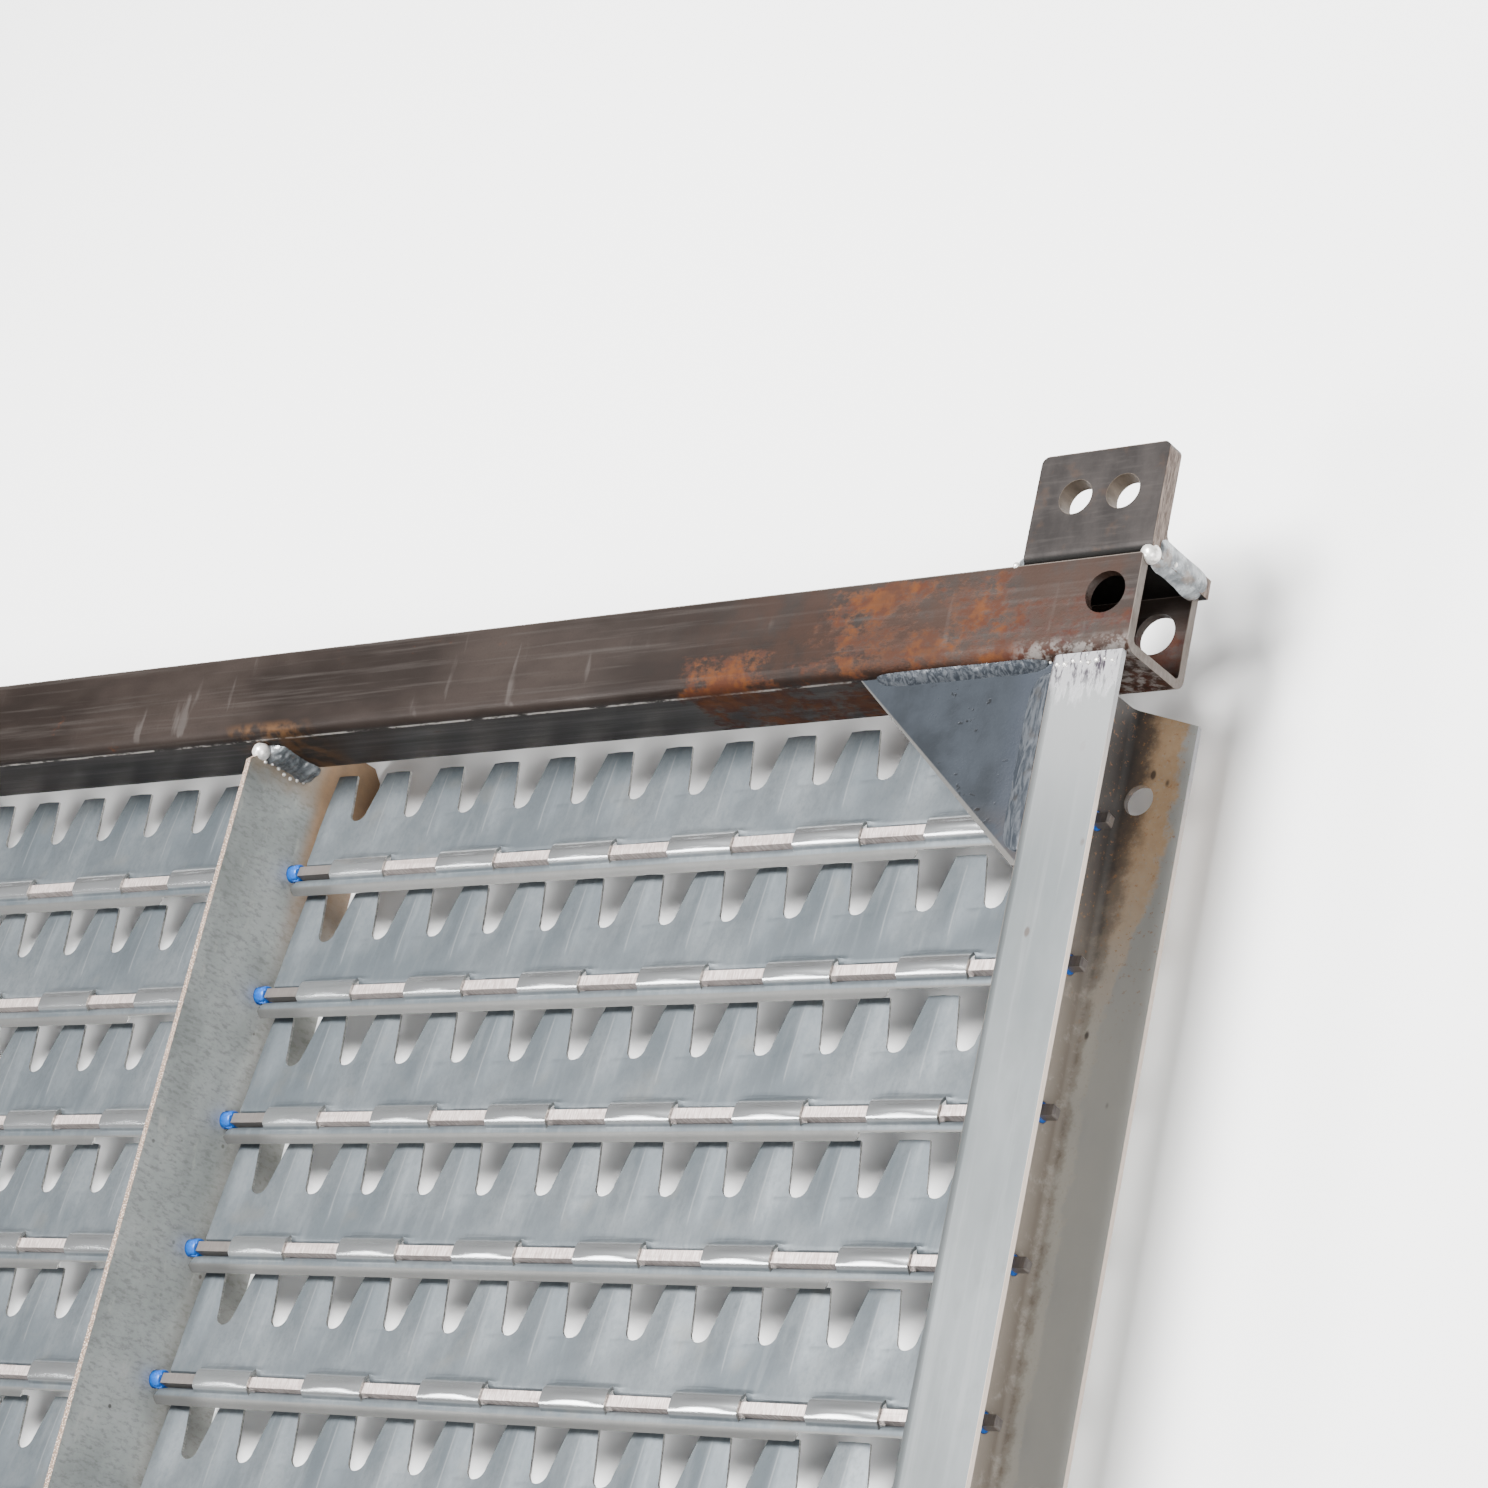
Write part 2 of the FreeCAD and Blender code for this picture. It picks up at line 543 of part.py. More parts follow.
def save_guides():
    """The bolts that carry the bar, with their spacers, washers and nuts."""
    bolts = []
    spacers = []
    washers = []
    nuts = []
    for y in guide_ys():
        head = hexagon_x((-WEB_IN, -WEB_IN + 5.3), y, GUIDE_Z, 13)
        bolts.append(head.fuse(rod_x((BOLT_END, -WEB_IN), y, GUIDE_Z, GUIDE_R)))
        spacer = (BAR_X[1] + 0.2, -WEB_OUT)
        washer = (BAR_X[0] - 1.8, BAR_X[0] - 0.2)
        spacers.append(rod_x(spacer, y, GUIDE_Z, 6).cut(rod_x((spacer[0] - 1, spacer[1] + 1), y, GUIDE_Z, 4.2)))
        washers.append(rod_x(washer, y, GUIDE_Z, 8).cut(rod_x((washer[0] - 1, washer[1] + 1), y, GUIDE_Z, 4.2)))
        nuts.append(nut((washer[0] - 6.5, washer[0]), y, GUIDE_Z, 13, GUIDE_R + 0.02))
    save("guide_bolts", *bolts)
    save("guide_spacers", *spacers)
    save("guide_washers", *washers)
    save("guide_nuts", *nuts)


def save_lever():
    """The lever with its pins, grip and clamp, and the pieces that it works against."""
    collar = rod_x((LEVER_X[1] + 0.2, -WEB_OUT), PIVOT_Y, PIVOT_Z, 5)
    save("lever_pivot_stud", collar.fuse(rod_x((BOLT_END, -WEB_OUT), PIVOT_Y, PIVOT_Z, GUIDE_R)))
    nut_x = (LEVER_X[0] - 6.7, LEVER_X[0] - 0.2)
    save("lever_pivot_nut", nut(nut_x, PIVOT_Y, PIVOT_Z, 13, GUIDE_R + 0.02))
    save("quadrant_plate", quadrant())
    save("adjusting_bar", adjusting_bar())
    save("adjusting_lever", about_pivot(lever()))
    save("lever_grip", about_pivot(grip()))
    save("lever_drive_pin", about_pivot(rod_x((LEVER_X[0], BAR_X[1] + 0.8), 0, LEVER_ARM, LEVER_PIN_R)))
    head = rod_x((LEVER_X[1], LEVER_X[1] + 2.8), -CLAMP_RADIUS, 0, 6)
    bolt = head.fuse(rod_x((-FLANGE_OUT, LEVER_X[1]), -CLAMP_RADIUS, 0, 3.0))
    save("clamp_bolt", about_pivot(along_handle(bolt)))
    clamp_x = (QUADRANT_X[0] - 5, QUADRANT_X[0] - 0.1)
    save("clamp_nut", about_pivot(along_handle(nut(clamp_x, -CLAMP_RADIUS, 0, 10, 3.02))))


if __name__ == "__main__":
    os.makedirs("parts", exist_ok=True)
    save_frame()
    save_welds()
    save_rows()
    save_guides()
    save_lever()
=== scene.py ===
"""Looks of the adjustable louvre sieve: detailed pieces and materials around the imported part.

Lengths in this file are millimetres; MM turns them into Blender's metres. The frame is the part's:
X across the sieve, Y to the front channel, Z up.
"""
import json
import math

import bmesh
import bpy
from mathutils import Euler, Matrix, Vector, noise


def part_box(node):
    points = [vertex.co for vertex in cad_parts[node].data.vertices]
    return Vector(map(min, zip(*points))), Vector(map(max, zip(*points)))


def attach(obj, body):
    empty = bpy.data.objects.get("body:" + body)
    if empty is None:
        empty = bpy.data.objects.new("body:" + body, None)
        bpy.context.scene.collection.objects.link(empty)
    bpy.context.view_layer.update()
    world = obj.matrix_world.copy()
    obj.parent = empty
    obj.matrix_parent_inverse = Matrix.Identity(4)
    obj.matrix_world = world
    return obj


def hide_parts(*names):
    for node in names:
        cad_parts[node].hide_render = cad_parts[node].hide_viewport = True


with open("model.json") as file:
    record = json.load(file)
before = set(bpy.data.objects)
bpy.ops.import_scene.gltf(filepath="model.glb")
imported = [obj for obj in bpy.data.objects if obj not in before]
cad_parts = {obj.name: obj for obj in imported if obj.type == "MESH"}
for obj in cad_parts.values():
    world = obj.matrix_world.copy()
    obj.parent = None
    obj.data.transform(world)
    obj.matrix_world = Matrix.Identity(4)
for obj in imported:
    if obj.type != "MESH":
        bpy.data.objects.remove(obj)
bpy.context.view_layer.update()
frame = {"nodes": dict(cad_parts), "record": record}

MM = 0.001


def limits(node):
    """The lowest and highest corner of a CAD node, in millimetres."""
    low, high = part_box(node)
    return Vector(low) / MM, Vector(high) / MM


# sizes that part.py uses and no box gives
SHEET = 2.0
CHANNEL = 30.0
GUSSET_LONG, GUSSET_SHORT = 68.0, 62.0
BRACKET_HOLE_IN, BRACKET_HOLE_UP = 19.0, 50.5
BRACKET_HOLE_PITCH, BRACKET_HOLE_R = 16.0, 5.5
M8_R, M8_PITCH, M8_ACROSS = 4.0, 1.25, 13
M6_R, M6_PITCH, M6_ACROSS = 3.0, 1.0, 10

JOINTS = {joint["name"]: joint for joint in frame["record"]["behaviour"]["joints"]}
ROWS = sum(1 for name in JOINTS if name.startswith("row_"))
FRONT_WEB_Y = limits("front_channel")[0].y
REAR_WEB_Y = limits("rear_channel")[1].y
CHANNEL_Z, TOP = limits("front_channel")[0].z, limits("front_channel")[1].z
FRAME_HALF = limits("front_channel")[1].x
WEB_IN = limits("side_member_right")[0].x
WEB_OUT = WEB_IN + SHEET
FLANGE_OUT = limits("side_member_right")[1].x
DIVIDERS = [limits("divider_left"), limits("divider_right")]
BAY_LEFTS = [limits("side_member_left")[1].x] + [high.x for low, high in DIVIDERS]
BAY_STEP = BAY_LEFTS[1] - BAY_LEFTS[0]
WIRES_Y = [JOINTS["row_%02d_tilt" % row]["pos_m"][1] / MM for row in range(1, ROWS + 1)]
WIRE_Z = JOINTS["row_01_tilt"]["pos_m"][2] / MM
GUIDES_Y = [WIRES_Y[row - 1] - (WIRES_Y[0] - WIRES_Y[1]) / 2 for row in (2, 5, 8)]

# ---- slat dimensions -----------------------------------------------
DROOP = 7.4                   # degrees that the fingers hang below level at rest
WIRE = 3.4
SLAT_T = 1.0
SLAT_LENGTH = 297.4
SLAT_INSET = 5.3
FINGER_TIP = 37.5
FINGER_PITCH = 24.24
NOTCH_FIRST = 15.2
NOTCH_COUNT = 12
NOTCH_ROOT = 19.5
NOTCH_ROOT_R = 3.6
NOTCH_MOUTH = 13.7
LIP_START = -5.2
LIP_LENGTH = 3.0
LIP_ANGLE = 40.0
LIP_OVERHANG = 3.8
LIP_END = 254.0
CRIMP_FOOT = 4.4              # the slits beside a crimp end here
CRIMP_FLAT = 1.8              # half the width of a crimp's crest
CRIMP_LONG, CRIMP_SHORT = 6.0, 4.2
CRIMP_UNDER = 3.7
FOLD_HEIGHT = 0.85
FOLD_HALF = 8.0
WAVE_HEIGHT = 0.12
BUSH_STAND = 4.1
ACROSS_FINGER = 8             # quads across one finger


# ---- small helpers -------------------------------------------------
def smooth(low, high, value):
    """0 below low, 1 above high, and an S curve between."""
    t = min(1.0, max(0.0, (value - low) / (high - low)))
    return t * t * (3 - 2 * t)


def lerp(a, b, t):
    return a + (b - a) * t


def add_object(name, data):
    obj = bpy.data.objects.new(name, data)
    bpy.context.scene.collection.objects.link(obj)
    return obj


def make_object(name, vertices, faces, sharp=35.0, closed=True):
    """A mesh object from points in millimetres, smooth but for edges sharper than an angle."""
    mesh = bpy.data.meshes.new(name)
    mesh.from_pydata([Vector(v) * MM for v in vertices], [], faces)
    mesh.validate()
    if closed:
        solid = bmesh.new()
        solid.from_mesh(mesh)
        bmesh.ops.recalc_face_normals(solid, faces=solid.faces)
        solid.to_mesh(mesh)
        solid.free()
    mesh.polygons.foreach_set("use_smooth", [True] * len(mesh.polygons))
    mesh.set_sharp_from_angle(angle=math.radians(sharp))
    return add_object(name, mesh)


def join_parts(parts):
    """One list of vertices and one of faces from several."""
    vertices, faces = [], []
    for more_vertices, more_faces in parts:
        start = len(vertices)
        vertices += more_vertices
        faces += [[start + i for i in face] for face in more_faces]
    return vertices, faces


def rings(sections, closed_ends=True):
    """A skin over a row of loops with the same number of points."""
    count = len(sections[0])
    vertices = [point for section in sections for point in section]
    faces = []
    for i in range(len(sections) - 1):
        for j in range(count):
            k = (j + 1) % count
            faces.append([i * count + j, i * count + k, (i + 1) * count + k, (i + 1) * count + j])
    if closed_ends:
        faces.append(list(range(count))[::-1])
        faces.append([(len(sections) - 1) * count + j for j in range(count)])
    return vertices, faces


def loop_at(x, radius_at, segments, y=0.0, z=0.0):
    """Points round a line along X; radius_at gives the radius for an angle."""
    points = []
    for j in range(segments):
        angle = 2 * math.pi * j / segments
        r = radius_at(angle)
        points.append((x, y + r * math.cos(angle), z + r * math.sin(angle)))
    return points


def turned(profile, shape=None, y=0.0, z=0.0, bore=0.0, segments=42):
    """A body turned about a line along X from (x, radius) pairs; with a bore it is a ring.

    shape may change the radius that a pair gives, with the angle.
    """
    def loop(x, radius, shape=None):
        return loop_at(x, lambda angle: shape(x, radius, angle) if shape else radius, segments, y, z)

    sections = [loop(x, radius, shape) for x, radius in profile]
    if not bore:
        return rings(sections)
    low, high = profile[0][0], profile[-1][0]
    sections += [loop(high, bore + 0.5), loop(high - 0.5, bore), loop(low + 0.5, bore), loop(low, bore + 0.5)]
    return rings(sections + sections[:1], closed_ends=False)


def hang(obj, row, x, slot, stem):
    """Put a piece on a row's wire, as it is at rest, and let it stand for the row's CAD node."""
    droop = Euler((math.radians(-DROOP), 0, 0)).to_matrix().to_4x4()
    obj.matrix_world = Matrix.Translation((x * MM, WIRES_Y[row - 1] * MM, WIRE_Z * MM)) @ droop
    bpy.context.view_layer.update()
    finish_piece(obj, "row_%02d" % row, slot, "%s_%02d" % (stem, row))


def finish_piece(obj, body, slot, *nodes):
    """Ride a piece on its body and let it stand for its CAD nodes; slot is not used."""
    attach(obj, body)
    if nodes:
        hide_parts(*nodes)


def add_piece(name, parts, material, body, slot, node, sharp):
    """Join parts into a detailed piece with one material and let it stand for a CAD node."""
    obj = make_object(name, *join_parts(parts), sharp=sharp)
    obj.data.materials.append(MATERIALS[material])
    finish_piece(obj, body, slot, node)


# ---- materials -----------------------------------------------------
class Graph:
    """A short way to write a material's nodes; lengths are millimetres and colour is the result so far."""

    def __init__(self, name):
        self.material = bpy.data.materials.new(name)
        self.material.use_nodes = True
        self.tree = self.material.node_tree
        self.tree.nodes.clear()
        self.shader = self.node("BsdfPrincipled")
        self.node("OutputMaterial", {0: self.shader.outputs[0]})
        coordinates = self.node("TexCoord")
        self.place = self.vector("SCALE", {0: coordinates.outputs["Object"], "Scale": 1 / MM})
        self.x, self.y, self.z = self.node("SeparateXYZ", {0: self.place}).outputs
        self.colour = None

    def set(self, socket, value):
        """Link another socket to this one, or give it a number, vector or colour."""
        if isinstance(value, bpy.types.NodeSocket):
            self.tree.links.new(value, socket)
        elif isinstance(value, tuple) and len(value) == 3 and socket.type == "RGBA":
            socket.default_value = (*value, 1)
        else:
            socket.default_value = value

    def node(self, kind, inputs=None, **settings):
        """A new node with its inputs and settings."""
        node = self.tree.nodes.new("ShaderNode" + kind)
        for name, value in settings.items():
            setattr(node, name, value)
        for name, value in (inputs or {}).items():
            self.set(node.inputs[name], value)
        return node

    def vector(self, operation, inputs):
        return self.node("VectorMath", inputs, operation=operation).outputs[0]

    def math(self, operation, a, b=0.0):
        return self.node("Math", {0: a, 1: b}, operation=operation).outputs[0]

    def add(self, a, b):
        return self.math("ADD", a, b)

    def mul(self, a, b):
        return self.math("MULTIPLY", a, b)

    def sub(self, a, b):
        return self.math("SUBTRACT", a, b)

    def most(self, a, b):
        return self.math("MAXIMUM", a, b)

    def across(self):
        """Distance from the middle of the sieve, to either side."""
        return self.math("ABSOLUTE", self.x)

    def step(self, value, low, high, start=0.0, end=1.0):
        """Smoothly from start at low to end at high."""
        inputs = {0: value, 1: low, 2: high, 3: start, 4: end}
        return self.node("MapRange", inputs, interpolation_type="SMOOTHSTEP").outputs[0]

    def blend(self, factor, a, b):
        """A number that goes from a to b with the factor."""
        return self.add(a, self.mul(factor, self.sub(b, a)))

    def band(self, value, middle, half, soft):
        """1 within half of the middle, 0 beyond half + soft."""
        away = self.math("ABSOLUTE", self.sub(value, middle))
        return self.step(away, half, half + soft, 1.0, 0.0)

    def mix(self, factor, a, b, kind="MIX"):
        return self.node("Mix", {"Factor": factor, 6: a, 7: b}, data_type="RGBA", blend_type=kind).outputs[2]

    def stretched(self, stretch):
        return self.vector("MULTIPLY", {0: self.place, 1: stretch})

    def noise(self, size, detail=4.0, roughness=0.55, stretch=(1, 1, 1), distortion=0.0):
        """Noise from 0 to 1 with blotches of about that size."""
        inputs = {"Vector": self.stretched(stretch), "Scale": 1 / size, "Detail": detail,
                  "Roughness": roughness, "Distortion": distortion}
        return self.node("TexNoise", inputs).outputs["Fac"]

    def patch(self, low, high, *kind):
        """Blotches of noise: 0 where it is below low, 1 where it is above high."""
        return self.step(self.noise(*kind), low, high)

    def spots(self, size, low, high, stretch=(1, 1, 1)):
        """Small round spots on a jittered grid."""
        node = self.node("TexVoronoi", {"Vector": self.stretched(stretch), "Scale": 1 / size})
        return self.step(node.outputs["Distance"], low, high, 1.0, 0.0)

    def bump(self, height, distance, strength=1.0):
        node = self.node("Bump", {"Strength": strength, "Distance": distance * MM, "Height": height})
        self.set(self.shader.inputs["Normal"], node.outputs[0])

    def lay(self, mask, tint, amount=1.0):
        """Lay a tint over the colour so far, where the mask is 1."""
        if amount != 1.0:
            mask = self.mul(mask, amount)
        self.colour = self.mix(mask, self.colour, tint)

    def finish(self, roughness, metallic, tone=1.0, specular=None):
        """Wire the shader; tone darkens the colour, which is given for a weaker light."""
        if tone != 1.0:
            self.colour = self.mix(1.0, self.colour, (tone, tone, tone), "MULTIPLY")
        if specular is not None:
            self.shader.inputs["Specular IOR Level"].default_value = specular
        self.set(self.shader.inputs["Base Color"], self.colour)
        self.set(self.shader.inputs["Roughness"], roughness)
        self.set(self.shader.inputs["Metallic"], metallic)
        return self.material


def from_front(g):
    """Distance behind the nearer channel's web, in millimetres."""
    return g.math("MINIMUM", g.sub(FRONT_WEB_Y, g.y), g.sub(g.y, REAR_WEB_Y))


def rust_mask(g, weight):
    """Ragged patches where weight is high, a few flecks elsewhere."""
    large = g.mul(g.noise(17, 6, 0.7, (0.6, 1, 1)), 0.62)
    ragged = g.add(large, g.mul(g.noise(3.6, 6, 0.75, (0.7, 1, 1)), 0.38))
    return g.step(g.add(ragged, g.mul(weight, 0.17)), 0.61, 0.73)


def mill_steel():
    """Dark scale on the channels, with worn streaks, rust and pale saw cuts."""
    g = Graph("mill_steel")
    across = g.across()
    from_end = g.sub(FRAME_HALF, across)
    up = g.sub(g.y, FRONT_WEB_Y)
    streak = g.noise(2.2, 5, 0.6, (0.03, 1, 1))
    cloud = g.noise(38, 4, 0.6, (0.4, 1, 1))
    grain = g.noise(0.7, 3, 0.6)
    g.colour = g.mix(g.step(cloud, 0.35, 0.68), (0.021, 0.0145, 0.012), (0.054, 0.04, 0.034))
    g.lay(g.step(streak, 0.48, 0.75), (0.115, 0.1, 0.092), 0.45)
    g.lay(g.step(grain, 0.52, 0.75), (0.022, 0.015, 0.012), 0.3)
    on_top = g.step(g.z, TOP - 1.5, TOP - 0.4)
    scrape = g.mul(g.patch(0.62, 0.72, 4.5, 3, 0.5, (0.8, 0.11, 1)), on_top)
    g.lay(g.mul(scrape, g.mul(g.step(cloud, 0.45, 0.6), 0.4)), (0.17, 0.15, 0.14))
    # a broken bright line along the web's bend: rubbed bare metal, with a painted highlight on it
    bend_highlight_band = g.mul(g.band(g.z, TOP - 4.3, 0.25, 0.5), g.band(up, 0, 0.5, 0.5))
    bright = g.mul(bend_highlight_band, g.patch(0.42, 0.54, 5, 6, 0.75, (0.35, 1, 1)))
    g.lay(bright, (0.8, 0.74, 0.68))
    patches = 0.0
    for place, half, height, reach in ((80, 34, 18, 9), (100, 56, 4, 6), (20, 18, 9, 8)):
        here = g.mul(g.band(from_end, place, half, 12), g.band(up, height, reach, 5))
        patches = g.most(patches, here)
    rust = rust_mask(g, patches)
    red = g.mix(g.step(from_end, 30, 48), (0.055, 0.0085, 0.004), (0.085, 0.021, 0.005))
    orange = g.mix(g.step(from_end, 30, 48), (0.08, 0.018, 0.005), (0.15, 0.043, 0.005))
    g.lay(rust, g.mix(g.patch(0.42, 0.6, 5, 4, 0.6), red, orange), 0.85)
    haze = g.mul(g.mul(g.step(from_end, 190, 90), 0.55), g.patch(0.36, 0.6, 16, 5, 0.65))
    g.lay(haze, (0.058, 0.024, 0.013))
    for _, divider_high in DIVIDERS:
        heat = g.mul(g.band(g.x, divider_high.x + 6, 8, 16), g.band(up, 0, 1.5, 4))
        heat = g.mul(heat, g.patch(0.38, 0.6, 5, 4))
        g.lay(heat, (0.22, 0.105, 0.04), 0.6)
    member_heat = g.mul(g.band(across, WEB_IN + 12, 17, 12), g.step(up, 7, 1))
    g.lay(g.mul(member_heat, g.patch(0.44, 0.6, 3, 5, 0.65)), (0.24, 0.215, 0.2))
    cut = g.most(g.step(from_end, 0.35, 0.1), g.step(up, CHANNEL - 0.4, CHANNEL - 0.1))
    saw = g.mix(g.noise(1.2, 4, 0.6, (1, 0.2, 1)), (0.13, 0.1, 0.08), (0.3, 0.26, 0.23))
    g.lay(cut, saw, 0.85)
    rough = g.add(g.add(g.mul(streak, -0.2), 0.56), g.mul(rust, 0.25))
    g.bump(g.add(g.mul(grain, 0.5), g.add(g.mul(rust, 0.6), g.mul(streak, 0.6))), 0.09, 0.8)
    return g.finish(rough, g.step(rust, 0.1, 0.6, 0.28, 0.0), 0.5, 0.16)


def bracket_steel():
    """Dark scale on the brackets, with brown sheared edges and tan hole bores."""
    g = Graph("bracket_steel")
    across = g.across()
    low, high = limits("bracket_right")
    cloud = g.noise(16, 5, 0.6, (1, 0.5, 1))
    grain = g.noise(0.8, 4, 0.65)
    streak = g.noise(1.6, 4, 0.6, (0.1, 1, 1))
    g.colour = g.mix(g.step(cloud, 0.36, 0.66), (0.022, 0.018, 0.017), (0.052, 0.044, 0.041))
    g.lay(g.step(streak, 0.5, 0.72), (0.09, 0.078, 0.072), 0.3)
    g.lay(g.patch(0.56, 0.68, 9, 5, 0.65), (0.075, 0.042, 0.026), 0.4)
    for hole in (-0.5, 0.5):
        dx = g.sub(across, FRAME_HALF - BRACKET_HOLE_IN + hole * BRACKET_HOLE_PITCH)
        dy = g.sub(g.y, FRONT_WEB_Y + BRACKET_HOLE_UP)
        away = g.math("SQRT", g.add(g.mul(dx, dx), g.mul(dy, dy)))
        bore = g.mix(g.noise(2, 4, 0.6, (1, 1, 0.3)), (0.1, 0.075, 0.055), (0.3, 0.235, 0.18))
        g.lay(g.step(away, BRACKET_HOLE_R + 0.12, BRACKET_HOLE_R), bore)
    # painted shade: the groove at the bracket's foot, against the channel's top, is painted near black
    groove_shade = g.mul(g.step(g.y, low.y + 3.2, low.y + 2.2), g.step(g.z, TOP - 0.1, TOP - 0.5))
    g.lay(groove_shade, (0.008, 0.007, 0.006))
    edge = g.most(g.step(across, high.x - 0.3, high.x - 0.05), g.step(g.y, high.y - 0.3, high.y - 0.05))
    lines = g.noise(0.9, 4, 0.6, (1, 0.25, 2.2))
    sheared = g.mix(g.step(lines, 0.35, 0.65), (0.1, 0.062, 0.045), (0.34, 0.265, 0.22))
    g.lay(edge, sheared)
    g.bump(g.add(g.mul(grain, 0.6), g.mul(g.mul(edge, lines), 1.5)), 0.1, 0.8)
    return g.finish(g.step(cloud, 0.3, 0.7, 0.58, 0.45), 0.2, 0.5, 0.16)


def gusset_steel():
    """Blue-grey plate with oil spots and a paler hypotenuse."""
    g = Graph("gusset_steel")
    cloud = g.noise(24, 4, 0.6)
    spots = g.mul(g.patch(0.62, 0.68, 3.2, 3, 0.55), g.patch(0.46, 0.6, 20, 2))
    fine = g.noise(0.9, 4, 0.6)
    g.colour = g.mix(g.step(cloud, 0.35, 0.68), (0.027, 0.032, 0.039), (0.06, 0.07, 0.084))
    g.lay(spots, (0.012, 0.012, 0.013), 0.8)
    heat = g.step(g.sub(WEB_IN, g.across()), 16, 7)
    blue = g.mix(g.noise(6, 4, 0.6, (1, 0.25, 1)), (0.04, 0.052, 0.075), (0.1, 0.11, 0.13))
    g.lay(heat, blue, 0.6)
    brown = g.mul(g.step(from_front(g), 40, 56), g.patch(0.4, 0.6, 8, 4))
    g.lay(brown, (0.075, 0.055, 0.04), 0.5)
    slope = g.add(g.mul(g.sub(WEB_IN, g.across()), GUSSET_SHORT / GUSSET_LONG), from_front(g))
    g.lay(g.step(slope, GUSSET_SHORT - 0.7, GUSSET_SHORT - 0.1), (0.26, 0.25, 0.23), 0.55)
    g.bump(g.add(fine, g.mul(spots, -0.8)), 0.06, 0.6)
    return g.finish(g.step(cloud, 0.3, 0.7, 0.34, 0.27), 0.3, 0.5, 0.165)


def galvanise(g):
    """Lay zinc with mottled grains and long pale streaks; returns the grains."""
    cells = g.noise(5, 5, 0.65, (1, 0.45, 1))
    cloud = g.noise(45, 4, 0.6, (1, 0.4, 1))
    streak = g.noise(3, 4, 0.6, (1, 0.03, 1))
    g.colour = g.mix(g.step(cloud, 0.33, 0.68), (0.112, 0.126, 0.13), (0.18, 0.195, 0.2))
    g.lay(g.step(cells, 0.45, 0.68), (0.12, 0.132, 0.132), 0.3)
    g.lay(g.step(streak, 0.5, 0.72), (0.26, 0.272, 0.276), 0.3)
    return cells


def member_steel():
    """Galvanised side member, burnt and blued round its welds to the channels; painted shade by the web
    inside, and its lower parts painted lighter as painted light.
    """
    g = Graph("side_member_steel")
    across = g.across()
    behind = from_front(g)
    wavy = g.add(g.mul(g.sub(g.noise(14, 5, 0.6), 0.5), 26), behind)
    out = g.mul(g.sub(across, WEB_OUT), 1 / (FLANGE_OUT - WEB_OUT))
    out = g.add(out, g.mul(g.sub(g.noise(6, 6, 0.72), 0.5), 0.5))
    cells = galvanise(g)
    # inside: painted shade next to the web, near black by the welds, then heat-tint brown and tan, and bare
    # zinc past a wavy line; away from the welds all are painted pale, as painted light in the shaded inside
    reach = g.step(wavy, 35, 100, 0.86, 0.34)
    part = g.math("DIVIDE", out, reach)
    hot = g.step(wavy, 105, 35)
    dark = g.mix(hot, (0.4, 0.34, 0.28), (0.03, 0.02, 0.018))
    brown = g.mix(hot, (0.6, 0.54, 0.46), (0.22, 0.13, 0.065))
    tan = g.mix(g.noise(4, 5, 0.65), (0.62, 0.36, 0.17), (0.95, 0.66, 0.4))
    tan = g.mix(hot, (0.85, 0.82, 0.74), tan)
    tint = g.mix(g.step(part, 0.02, g.step(wavy, 55, 20, 0.3, 0.55)), dark, brown)
    tint = g.mix(g.step(part, 0.3, 0.62), tint, tan)
    past_web = g.step(across, WEB_IN + 0.9, WEB_OUT - 0.2)
    inside = g.mul(g.mul(g.step(part, 1.06, 0.9), g.step(g.z, TOP - 2.0, TOP - 2.6)), past_web)
    # painted light: the web's outside and the lower flange, past the web, are painted near white to light
    # them under the top flange's shadow
    lit_lower_zinc = g.mul(g.step(g.z, TOP - 2.6, TOP - 4), past_web)
    g.lay(lit_lower_zinc, (1.0, 0.99, 0.93), 0.7)
    flecks = g.mul(g.patch(0.55, 0.66, 1.1, 4, 0.7), g.step(part, 0.2, 0.6))
    tint = g.mix(g.mul(flecks, 0.5), tint, (0.7, 0.62, 0.5))
    g.lay(inside, tint, 0.92)
    rusty = g.mul(g.patch(0.6, 0.66, 1.6, 4, 0.7), g.mul(lit_lower_zinc, g.step(wavy, 120, 60)))
    g.lay(rusty, (0.6, 0.3, 0.13), 0.6)
    pits = g.mul(g.spots(11, 0.06, 0.11, (1, 0.6, 1)), g.step(wavy, 200, 120))
    g.lay(pits, (0.06, 0.04, 0.03), 0.8)
    # top flange: silver at the weld, then satin zinc
    on_top = g.step(g.z, TOP - 2.0, TOP - 1.4)
    satin = g.mix(g.step(behind, 8, 75), (0.27, 0.278, 0.278), g.colour)
    g.lay(on_top, satin)
    drip = g.noise(2.6, 5, 0.7, (1, 0.28, 1))
    burnt = g.mul(on_top, g.step(g.add(behind, g.mul(g.sub(drip, 0.5), 22)), 15, 7))
    silver = g.mix(g.step(drip, 0.5, 0.6), (0.7, 0.69, 0.71), (0.09, 0.075, 0.095))
    g.lay(burnt, silver)
    rim = g.mul(g.step(g.z, TOP - 4, TOP - 2.2), g.step(behind, 240, 60))
    rim = g.mul(g.band(across, WEB_IN + 0.5, 0.5, 0.7), rim)
    g.lay(rim, (0.55, 0.42, 0.31), 0.6)
    cut = g.step(across, FLANGE_OUT - 0.12, FLANGE_OUT - 0.03)
    g.lay(cut, g.mix(g.step(behind, 10, 60), (0.3, 0.3, 0.31), (0.62, 0.52, 0.44)))
    rough = g.add(g.add(g.mul(cells, 0.25), 0.33), g.mul(inside, 0.18))
    g.bump(g.add(g.mul(cells, 0.5), g.mul(burnt, drip)), 0.08, 0.7)
    return g.finish(g.blend(burnt, rough, 0.2), g.blend(g.mul(inside, hot), 0.45, 0.15), 0.6)


